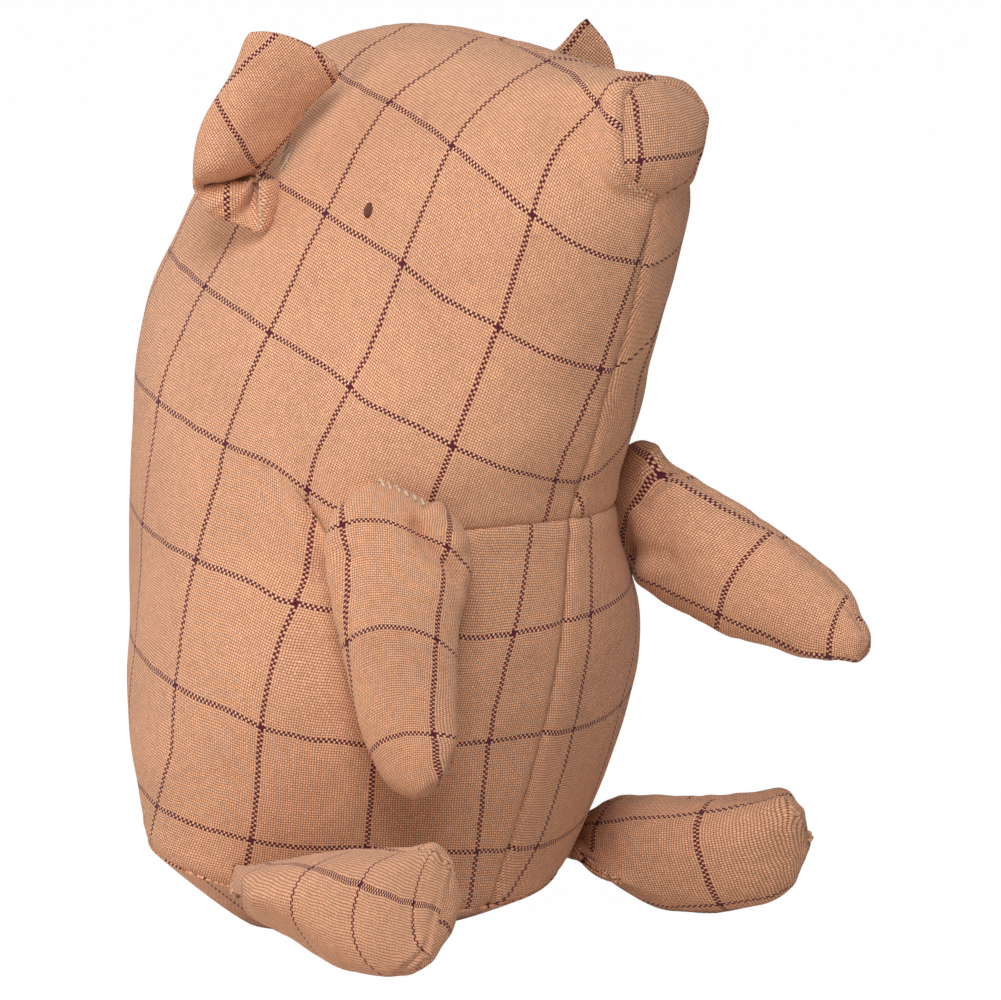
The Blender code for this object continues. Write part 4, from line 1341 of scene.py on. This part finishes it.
def fit_outline(points, edges, start, fade):
    """Move a limb across the view so that its outline falls on the one in the photograph.

    Between start and start + fade of its length the move comes in smoothly.
    """
    edges = [np.array(e, float) for e in edges]
    root = (edges[0][0] + edges[1][0]) / 2
    tip = edges[0][-1]
    e = (tip - root) / np.linalg.norm(tip - root)
    f = np.array([-e[1], e[0]])
    for _ in range(FIT_ROUNDS):
        seen = pixels(points)
        along, across = seen @ e, seen @ f
        ends = min(min(k @ e) for k in edges), max(max(k @ e) for k in edges)
        share = (along - along.min()) / (along.max() - along.min())
        weight = smooth_step((share - start) / fade) if fade else np.ones_like(share)
        lowest = ends[0] if start == 0 else along.min()
        new_along = lowest + share * (ends[1] - TIP_FLAT - lowest)
        new_along = along + (new_along - along) * weight
        places = np.linspace(along.min(), along.max(), 60)
        low, high = edge_reach(along.ravel(), across.ravel(), places)
        goal = [np.interp(new_along, np.maximum.accumulate(edge @ e), edge @ f) for edge in edges]
        goal_low, goal_high = np.minimum(*goal), np.maximum(*goal)
        now_low, now_high = np.interp(along, places, low), np.interp(along, places, high)
        mix = (across - now_low) / np.maximum(now_high - now_low, 12.0)
        new_across = across + (goal_low + mix * (goal_high - goal_low) - across) * weight
        shift = (new_along - along)[..., None] * e + (new_across - across)[..., None] * f
        points = move_across(points, shift, FIT_SHARE)
    return points


def follow_outline(points, edges, start, fade):
    """Fit a limb to its outline: ring by ring where start is None, and otherwise as a whole."""
    return fit_rings(points, edges) if start is None else fit_outline(points, edges, start, fade)


def calm_ends(points):
    """Even out the rings next to a limb's two closing seams, and its root from ring to ring."""
    for _ in range(4):
        points[1:9] = (points[:8] + 2 * points[1:9] + points[2:10]) / 4
    ends = [0, 1, -3, -2, -1]
    for _ in range(6):
        points[ends] = round_rings(points[ends])
    return points


def round_over(points, times):
    """Smooth a limb's rings along and around, keeping its root and tip."""
    for _ in range(times):
        points[1:-1] = (points[:-2] + 2 * points[1:-1] + points[2:]) / 4
        points = round_rings(points, 4.0)
    return points


def sink_root(points, depth, reach):
    """Move a limb's rings away from the camera at its root, fading out over a share of its length."""
    away = np.linspace(0, 1, LIMB_ROWS)
    return points + np.array(FORWARD) * (depth * (1 - smooth_step(away / reach)))[:, None, None]


def limb_rings(tree, axes, swing, form, edges, start, fade, sag, sink, sewn, moves, bury):
    """Rings of a limb, clear of the body and on its outline in the photograph."""
    points = press_clear(limb_form(axes, form, sag), tree, axes[0], swing, sewn)
    points = follow_outline(points, edges, start, fade)
    points = follow_outline(round_over(points, 2), edges, start, fade)
    points = sink_root(points, sink, 0.4)
    points = round_over(press_clear(points, tree, axes[0], swing, sewn), 1)
    points = calm_ends(nudge(points, moves) if moves else points)
    points = sink_root(points, bury, 0.35)
    points[..., 2] = np.maximum(points[..., 2], 0.0)
    return points


def make_skin(body, label, part, centre, lines, strokes, seed):
    """One half of a limb's cloth, with its seams, lumps and creases."""
    name = f"{body}_{label}"
    fine = refine(part, LIMB_ROWS * 3 - 2, LIMB_SIDES // 2 * 3 + 1)
    rows, columns = fine.shape[:2]
    middle = refine(centre[:, None].repeat(4, axis=1), rows, columns)
    normals = outward_normals(fine, middle)
    one, two = edge_distance(fine, 1)
    root, tip = edge_distance(fine, 0)
    move = seam_dip(one, root, seed, LIMB_SEAM_DEPTH, LIMB_PUCKER)
    move += seam_dip(two, root, seed + 4, LIMB_SEAM_DEPTH, LIMB_PUCKER)
    move += seam_dip(tip, one, seed + 8, 0.3 * MM, 0.2 * MM)
    calm = smooth_step(np.minimum(np.minimum(one, two), tip) / (5 * MM))
    move += 0.45 * MM * lumps(fine, 15 * MM, seed + 12) * calm
    move *= smooth_step(root / (3 * MM)) * smooth_step(tip / (3 * MM))
    whole = smooth_step(tip / (2 * MM))
    for line, width, depth in strokes:
        move += stroke(fine, normals, line, width, depth) * whole
    fine = fine + normals * move[..., None]
    fine[..., 2] = np.maximum(fine[..., 2], 0.0)
    flat = refine(flatten([part[::3, ::2]], [])[0], rows, columns)
    inside = centre[len(centre) // 2]
    flat = lay_limb_check(name, fine, flat, lines, inside)
    thing = cloth_object(f"{name}_cloth", [fine], [flat], [], inside, CLOTH_THICKNESS)
    stand_for(thing, body, f"{name}_skin")


def make_limb(tree, name, axes, swing, form, edges, lines, strokes, seed, *, start=0.0, fade=0.0,
              sag=0.0, sink=0.0, sewn=SEWN_SHARE, moves=(), bury=0.0):
    """Two skins sewn round their edge, and the filling, of one arm or leg."""
    points = limb_rings(tree, axes, swing, form, edges, start, fade, sag, sink, sewn, moves, bury)
    half = LIMB_SIDES // 2
    depth_way = axes[1][1] * np.sign(axes[0][0])
    labels = ("outer", "inner") if depth_way[0] > 0 else ("inner", "outer")
    centre = points.mean(axis=1)
    for label, part in zip(labels, (points[:, :half + 1], points[:, half:])):
        make_skin(name, label, part, centre, lines, strokes, seed)
    shares = np.linspace(0, 1, LIMB_ROWS)
    thin = 0.3 + 0.3 * smooth_step((shares - 0.2) / 0.3)
    inside = centre[:, None] + (points - centre[:, None]) * thin[:, None, None]
    thing = closed_form(name + "_filling", inside[7:-4], bpy.data.materials["fibre"])
    stand_for(thing, name, name + "_stuffing")
    return points


SEEN_SHARE = 0.6
UNSEEN_SHIFT = np.array([11.0, 17.0]) * MM


def lay_limb_check(name, fine, flat, lines, inside):
    tree, places = grid_tree([fine])
    hits, total = 0, sum(len(path) for _, _, path in lines)
    for _, _, path in lines:
        for x, y in path:
            hit = cast(tree, places, [fine], x, y)
            hits += hit is not None and faces_camera(fine, hit[1], hit[2], inside)
    if hits > SEEN_SHARE * total:
        return lay_check([fine], [flat], lines, None, inside)[0]
    return flat + UNSEEN_SHIFT * (1 + len(name) % 3)


def make_limbs(tree):
    """Arms and legs, each on its joint's axes."""
    right = limb_axes(ARM_RIGHT_ROOT_SHARES, ARM_RIGHT_AIM, ARM_RIGHT_SEWN_LINE)
    near_arm = make_limb(
        tree, "arm_right", right, (Vector(right[1][0]), ARM_RIGHT_ANGLES), ARM_FORM, ARM_RIGHT_EDGES,
        ARM_RIGHT_LINES, ARM_RIGHT_STROKES, 101, start=None, bury=3.0 * MM,
    )
    trees = [grid_tree([near_arm])[0], tree]
    make_stitches("arm_right_stitches", "arm_right", trees, ARM_STITCHES, 0.28 * MM, 1.0 * MM)
    left = limb_axes(ARM_LEFT_ROOT_SHARES, ARM_LEFT_AIM, ARM_LEFT_SEWN_LINE)
    make_limb(
        tree, "arm_left", left, (Vector(left[1][0]), ARM_LEFT_ANGLES), ARM_FORM, ARM_LEFT_EDGES,
        ARM_LEFT_LINES, ARM_LEFT_STROKES, 131, sag=ARM_LEFT_SAG, sink=4.0 * MM, sewn=0.2,
        moves=ARM_LEFT_MOVES,
    )
    x, y, z = LEG_ROOT_SHARES
    roll = math.radians(LEG_ROLL)
    for name, side, splay, edges, start, bury, lines, strokes, seed, moves in (
        ("leg_right", -1, LEG_RIGHT_SPLAY, LEG_RIGHT_EDGES, 0.0, 10.0 * MM, LEG_RIGHT_LINES,
         LEG_RIGHT_STROKES, 161, LEG_RIGHT_MOVES),
        ("leg_left", 1, LEG_LEFT_SPLAY, LEG_LEFT_EDGES, 0.15, -6.0 * MM, LEG_LEFT_LINES,
         LEG_LEFT_STROKES, 191, ()),
    ):
        splay = math.radians(splay)
        aim = (side * math.sin(splay), -math.cos(splay), 0.0)
        axes = limb_axes((side * x, y, z), aim, (-side * math.sin(roll), 0.0, math.cos(roll)))
        swing = Vector((0, 0, 1)), [side * angle for angle in LEG_ANGLES]
        make_limb(tree, name, axes, swing, LEG_FORM, edges, lines, strokes, seed,
                  start=start, fade=0.2, moves=moves, bury=bury)


# ---- ears, eyes and tail

def ear_form(corners, place):
    """Middle sheet of an ear between its two edges."""
    rows = spline([[c for point in row for c in point] for row in corners], np.linspace(0, 1, 12))
    grid = []
    for i, row in enumerate(rows):
        outer, inner = Vector(row[:3]), Vector(row[3:])
        rise = math.sin(math.pi * min(1.0, 0.15 + i / 11))
        lift = (outer - inner).cross(Vector((0, 0, 1))).normalized() * 0.07 * rise
        if lift.y > 0:
            lift.negate()
        grid.append([tuple(Vector(place) + (outer.lerp(inner, t) + lift * 4 * t * (1 - t)) * EAR_LENGTH)
                     for t in np.linspace(0, 1, 8)])
    return np.array(grid)


EAR_STIFFNESS = 1.0
EAR_CALM = 0.3


def make_ear(name, middle, lines, strokes, seed):
    """Front and back cloth of one ear, sewn round the edge."""
    normals = sheet_normals(middle)
    if (normals @ np.array(FORWARD)).sum() > 0:
        normals = -normals
    one, two = edge_distance(middle, 1)
    _, tip = edge_distance(middle, 0)
    edge = np.minimum(np.minimum(one, two), tip)
    half = 0.25 * MM + 0.8 * MM * (1 - np.exp(-edge / (1.6 * MM)))
    centre = middle.reshape(-1, 3).mean(axis=0)
    way_out = normals.reshape(-1, 3).mean(axis=0)
    for label, way in (("front", 1), ("back", -1)):
        move = half * way + 0.22 * MM * lumps(middle, 9 * MM, seed + way)
        for line, width, depth in strokes:
            move += stroke(middle, normals, line, width, depth)
        points = middle + normals * move[..., None]
        flat = refine(flatten([middle[::6, ::6]], [])[0], *middle.shape[:2])
        inside = centre - way * way_out * 50 * MM
        if way > 0:
            flat = lay_check([points], [flat], lines, None, inside, EAR_STIFFNESS, EAR_CALM)[0]
        thing = cloth_object(f"{name}_{label}_cloth", [points], [flat], [], inside, EAR_CLOTH_THICKNESS)
        stand_for(thing, name, f"{name}_{label}")


def nudge(points, moves):
    """Pull a piece so that what is seen at one pixel goes to another."""
    seen = pixels(points)
    shift = np.zeros_like(seen)
    for x, y, new_x, new_y, reach in moves:
        pull = np.exp(-((seen[..., 0] - x) ** 2 + (seen[..., 1] - y) ** 2) / reach ** 2)
        shift += pull[..., None] * (new_x - x, new_y - y)
    return move_across(points, shift)


def make_ears(tree):
    """The near ear from its places in the photograph, and the far one from the CAD's."""
    aim = (CAMERA_AIM - CAMERA_PLACE).dot(FORWARD)
    near = np.array([[tuple(at_depth(x, y, aim + z * MM)) for x, y, z in row] for row in EAR_NEAR_FORM])
    near = refine(near, 121, 61)
    make_ear("ear_right", near, EAR_NEAR_LINES, EAR_NEAR_STROKES, 221)
    trees = [grid_tree([near])[0]]
    make_stitches("ear_right_topstitch", "ear_right", trees, EAR_TOPSTITCH, 0.2 * MM, 0.9 * MM)
    place, normal, _, _ = tree.find_nearest(Vector(EAR_ROOT_SHARES) * BODY_HEIGHT)
    far = ear_form(EAR_LEFT_SHARES, place + normal * 1.4 * MM)
    for c in range(far.shape[1]):
        spot, away, _, _ = tree.find_nearest(Vector(far[0, c]))
        far[0, c] = spot + away * 0.8 * MM
    far = nudge(refine(far, 73, 61), EAR_FAR_MOVES)
    make_ear("ear_left", far, EAR_FAR_LINES, (), 241)


def plain_material(name, colour, rough=0.9):
    """Matt material of one colour with a fine fibrous mottle."""
    material, tree, shader = new_material(name, rough)
    place = tree.nodes.new("ShaderNodeTexCoord")
    noise = node(tree, "ShaderNodeTexNoise", Scale=900.0, Detail=3.0)
    tree.links.new(place.outputs["Object"], noise.inputs["Vector"])
    dark = tuple(c * 0.8 for c in colour)
    tree.links.new(mix_colour(tree, noise.outputs[0], dark, colour), shader.inputs["Base Color"])
    return material


def tube(mesh, path, radius, sides=8):
    """Rounded thread along a path, closed at both ends."""
    path = np.array(path, float)
    ahead = np.gradient(path, axis=0)
    ahead /= np.linalg.norm(ahead, axis=1, keepdims=True)
    radius = np.broadcast_to(radius, len(path))
    side = np.cross(ahead[0], (0.3, 0.5, 0.8))
    rings = []
    for p, a, r in zip(path, ahead, radius):
        side = side - a * (side @ a)
        side /= np.linalg.norm(side)
        up = np.cross(a, side)
        turn = np.linspace(0, 2 * math.pi, sides, endpoint=False)
        rings.append([mesh.verts.new(p + (side * math.cos(t) + up * math.sin(t)) * r) for t in turn])
    for low, high in zip(rings, rings[1:]):
        for k in range(sides):
            mesh.faces.new((low[k], low[(k + 1) % sides], high[(k + 1) % sides], high[k]))
    mesh.faces.new(rings[0][::-1])
    mesh.faces.new(rings[-1])


STITCH_POINTS = 6


def make_stitches(name, body, trees, lines, radius, lift=0.0):
    """Short pale threads laid on what is seen at their pixels."""
    mesh = bmesh.new()
    for line in lines:
        path = []
        for x, y in spline(line, np.linspace(0, 1, STITCH_POINTS)):
            way = ray(x, y).normalized()
            found = [tree.ray_cast(CAMERA_PLACE, way)[0] for tree in trees]
            point = next((hit for hit in found if hit is not None), None)
            if point is not None:
                rise = 1.2 + math.sin(math.pi * len(path) / (STITCH_POINTS - 1))
                path.append(point - way * (lift + radius * rise))
        if len(path) == STITCH_POINTS:
            tube(mesh, path, radius, 6)
    bmesh.ops.recalc_face_normals(mesh, faces=mesh.faces[:])
    material = bpy.data.materials.get("pale_thread") or plain_material("pale_thread", PALE_THREAD, 0.8)
    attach(new_object(name, mesh, material), body)


def make_eyes(tree):
    """Ovals of dark brown satin stitches."""
    thread = plain_material("eye_thread", EYE_THREAD, 0.6)
    start = tree.ray_cast(CAMERA_PLACE, ray(*EYE_PIXEL).normalized())[0]
    for name, side in (("eye_right", 1), ("eye_left", -1)):
        seat, normal, _, _ = tree.find_nearest(Vector((start.x * side, start.y, start.z)))
        up = Vector((0, 0, 1))
        up = (up - normal * up.dot(normal)).normalized()
        across = normal.cross(up)
        mesh = bmesh.new()
        random = np.random.RandomState(7)
        for k in range(EYE_THREADS):
            share = (k - EYE_THREADS // 2) / 4.4
            reach = EYE_HALF_HEIGHT * math.sqrt(1 - share ** 2)
            slant = random.uniform(-0.12, 0.12)
            middle = seat + across * share * 1.15 * MM
            path = []
            for t in np.linspace(-1, 1, 7):
                rise = 0.35 * MM * math.sqrt(max(0.0, 1 - t * t)) * (1.1 - 0.5 * share ** 2)
                path.append(middle + up * t * reach + across * slant * t * reach * 0.5 + normal * rise)
            tube(mesh, path, 0.15 * MM)
        bmesh.ops.recalc_face_normals(mesh, faces=mesh.faces[:])
        stand_for(new_object(name + "_stitches", mesh, thread), "body", name)


TAIL_PLACE_SHARES = (0.0, 0.330, 0.300)
TAIL_LENGTH = 30.0 * MM
TAIL_GAP = 0.4 * MM
TAIL_CURL = 260


def make_tail(tree):
    """Short curled tube of the same cloth."""
    place, normal, _, _ = tree.find_nearest(Vector(TAIL_PLACE_SHARES) * BODY_HEIGHT)
    place = place + normal * TAIL_GAP
    rows, sides = 60, 33
    share = np.linspace(0, 1, rows)
    angle = share * math.radians(TAIL_CURL)
    curl = TAIL_LENGTH * 0.24 * (1 - 0.35 * share)
    centre = np.stack([
        TAIL_LENGTH * 0.12 * share,
        np.sin(angle) * curl + TAIL_LENGTH * 0.28 * share,
        (np.cos(angle) - 1) * curl,
    ], axis=-1) + np.array(place)
    radius = TAIL_LENGTH * 0.085 * (1 - 0.55 * share)
    radius[0] *= 0.75
    end = np.sqrt(np.clip(1 - ((share - 0.94) / 0.06).clip(0) ** 2, 0, 1))
    turn = np.linspace(0, 2 * math.pi, sides)
    up = np.stack([np.zeros(rows), np.sin(angle), np.cos(angle)], axis=-1)
    ring = np.cos(turn)[None, :, None] * np.array([1.0, 0, 0]) + np.sin(turn)[None, :, None] * up[:, None]
    points = centre[:, None] + ring * (radius * end)[:, None, None]
    flat = np.broadcast_arrays(turn[None] * TAIL_LENGTH * 0.07, share[:, None] * TAIL_LENGTH)
    flat = np.stack(flat, axis=-1)
    stand_for(closed_object("tail_cloth", cloth_mesh([points], [flat], []), LINEN), "tail", "tail")


# ---- stage

def make_camera():
    """Camera at the photograph's angle."""
    data = bpy.data.cameras.new("camera")
    data.sensor_fit = "HORIZONTAL"
    data.sensor_width = SENSOR_WIDTH
    data.lens = FOCAL_PIXELS * SENSOR_WIDTH / PHOTO_WIDTH
    data.clip_end = FAR_CLIP
    camera = link("camera", data)
    matrix = Matrix((RIGHT, UP, -FORWARD)).transposed().to_4x4()
    matrix.translation = CAMERA_PLACE
    camera.matrix_world = matrix
    bpy.context.scene.camera = camera


def camera_white(tree):
    """1 where a camera, glossy or transmission ray looks."""
    path = tree.nodes.new("ShaderNodeLightPath")
    seen = math_node(tree, "MAXIMUM", path.outputs["Is Camera Ray"], path.outputs["Is Glossy Ray"])
    return math_node(tree, "MAXIMUM", seen, path.outputs["Is Transmission Ray"])


def make_floor():
    """Plain pale floor that shows white and keeps a soft shadow."""
    mesh = bmesh.new()
    bmesh.ops.create_grid(mesh, x_segments=1, y_segments=1, size=FLOOR_HALF_WIDTH)
    data = bpy.data.meshes.new("floor")
    mesh.to_mesh(data)
    mesh.free()
    floor = link("floor", data)
    material, tree, shader = new_material("floor", 0.9)
    shader.inputs["Base Color"].default_value = FLOOR_COLOUR
    shader.inputs["Specular IOR Level"].default_value = 0.0
    glow = node(tree, "ShaderNodeEmission", Color=(1, 1, 1, 1), Strength=1.03)
    mix = tree.nodes.new("ShaderNodeMixShader")
    tree.links.new(math_node(tree, "MULTIPLY", camera_white(tree), 0.96), mix.inputs[0])
    tree.links.new(shader.outputs[0], mix.inputs[1])
    tree.links.new(glow.outputs[0], mix.inputs[2])
    tree.links.new(mix.outputs[0], tree.nodes["Material Output"].inputs[0])
    data.materials.append(material)


def area_light(name, place, aim, size, power, colour):
    """Soft square lamp."""
    data = bpy.data.lights.new(name, "AREA")
    data.size = size
    data.energy = power
    data.color = colour
    lamp = link(name, data)
    lamp.location = place
    lamp.rotation_euler = (Vector(aim) - Vector(place)).to_track_quat("-Z", "Y").to_euler()


FLOOR_HALF_WIDTH = 4.0

# Lamps: way from the object to the right, forward and up as the camera looks, size, power, colour
LAMP_AIM = Vector((0.0, 0.02, 0.1))
# Strength of the surround where the camera doesn't look at it
AMBIENT = 0.035
SURROUND = (255, 236, 218)
WHITE = (255, 255, 255)
PALE = (1.0, 1.0, 1.0)
WARM = (1.0, 0.85, 0.73)
LAMPS = (
    ("key", 0.0, -0.9, 0.7, 0.5, 10.4, PALE),
    ("side", -0.8, -0.6, 0.1, 0.5, 2.9, WARM),
    ("back", -0.9, 0.25, 0.35, 0.6, 2.9, PALE),
    ("fill", 0.9, 0.0, 0.4, 0.7, 0.9, WARM),
)


def make_lights():
    """Soft light from above, from the left and from behind, and a pale surround."""
    world = bpy.data.worlds.new("surround")
    bpy.context.scene.world = world
    world.use_nodes = True
    tree = world.node_tree
    back = tree.nodes["Background"]
    tree.links.new(mix_colour(tree, camera_white(tree), SURROUND, WHITE), back.inputs[0])
    strength = math_node(tree, "MULTIPLY_ADD", camera_white(tree), 1.0 - AMBIENT, AMBIENT)
    tree.links.new(strength, back.inputs[1])
    for name, right, forward, rise, size, power, colour in LAMPS:
        place = LAMP_AIM + RIGHT * right + FORWARD * forward + Vector((0, 0, rise))
        area_light(name, place, LAMP_AIM, size, power, colour)


make_camera()
make_lights()
make_floor()
body_grids = [
    *make_side_panel(1, "side_cloth_right", "side_panel_right", RIGHT_PANEL_LINES, 11),
    *make_side_panel(-1, "side_cloth_left", "side_panel_left", LEFT_PANEL_LINES, 31),
    make_snout(),
    make_base(),
]
body_tree = surface_tree(body_grids)
make_fillings()
make_limbs(body_tree)
make_ears(body_tree)
make_eyes(body_tree)
make_stitches("ear_right_hand_stitches", "body", [body_tree], EAR_STITCHES, 0.2 * MM)
make_stitches("snout_stitches", "body", [body_tree], SNOUT_STITCHES, 0.18 * MM)
make_tail(body_tree)

bpy.context.scene.view_settings.view_transform = "Standard"
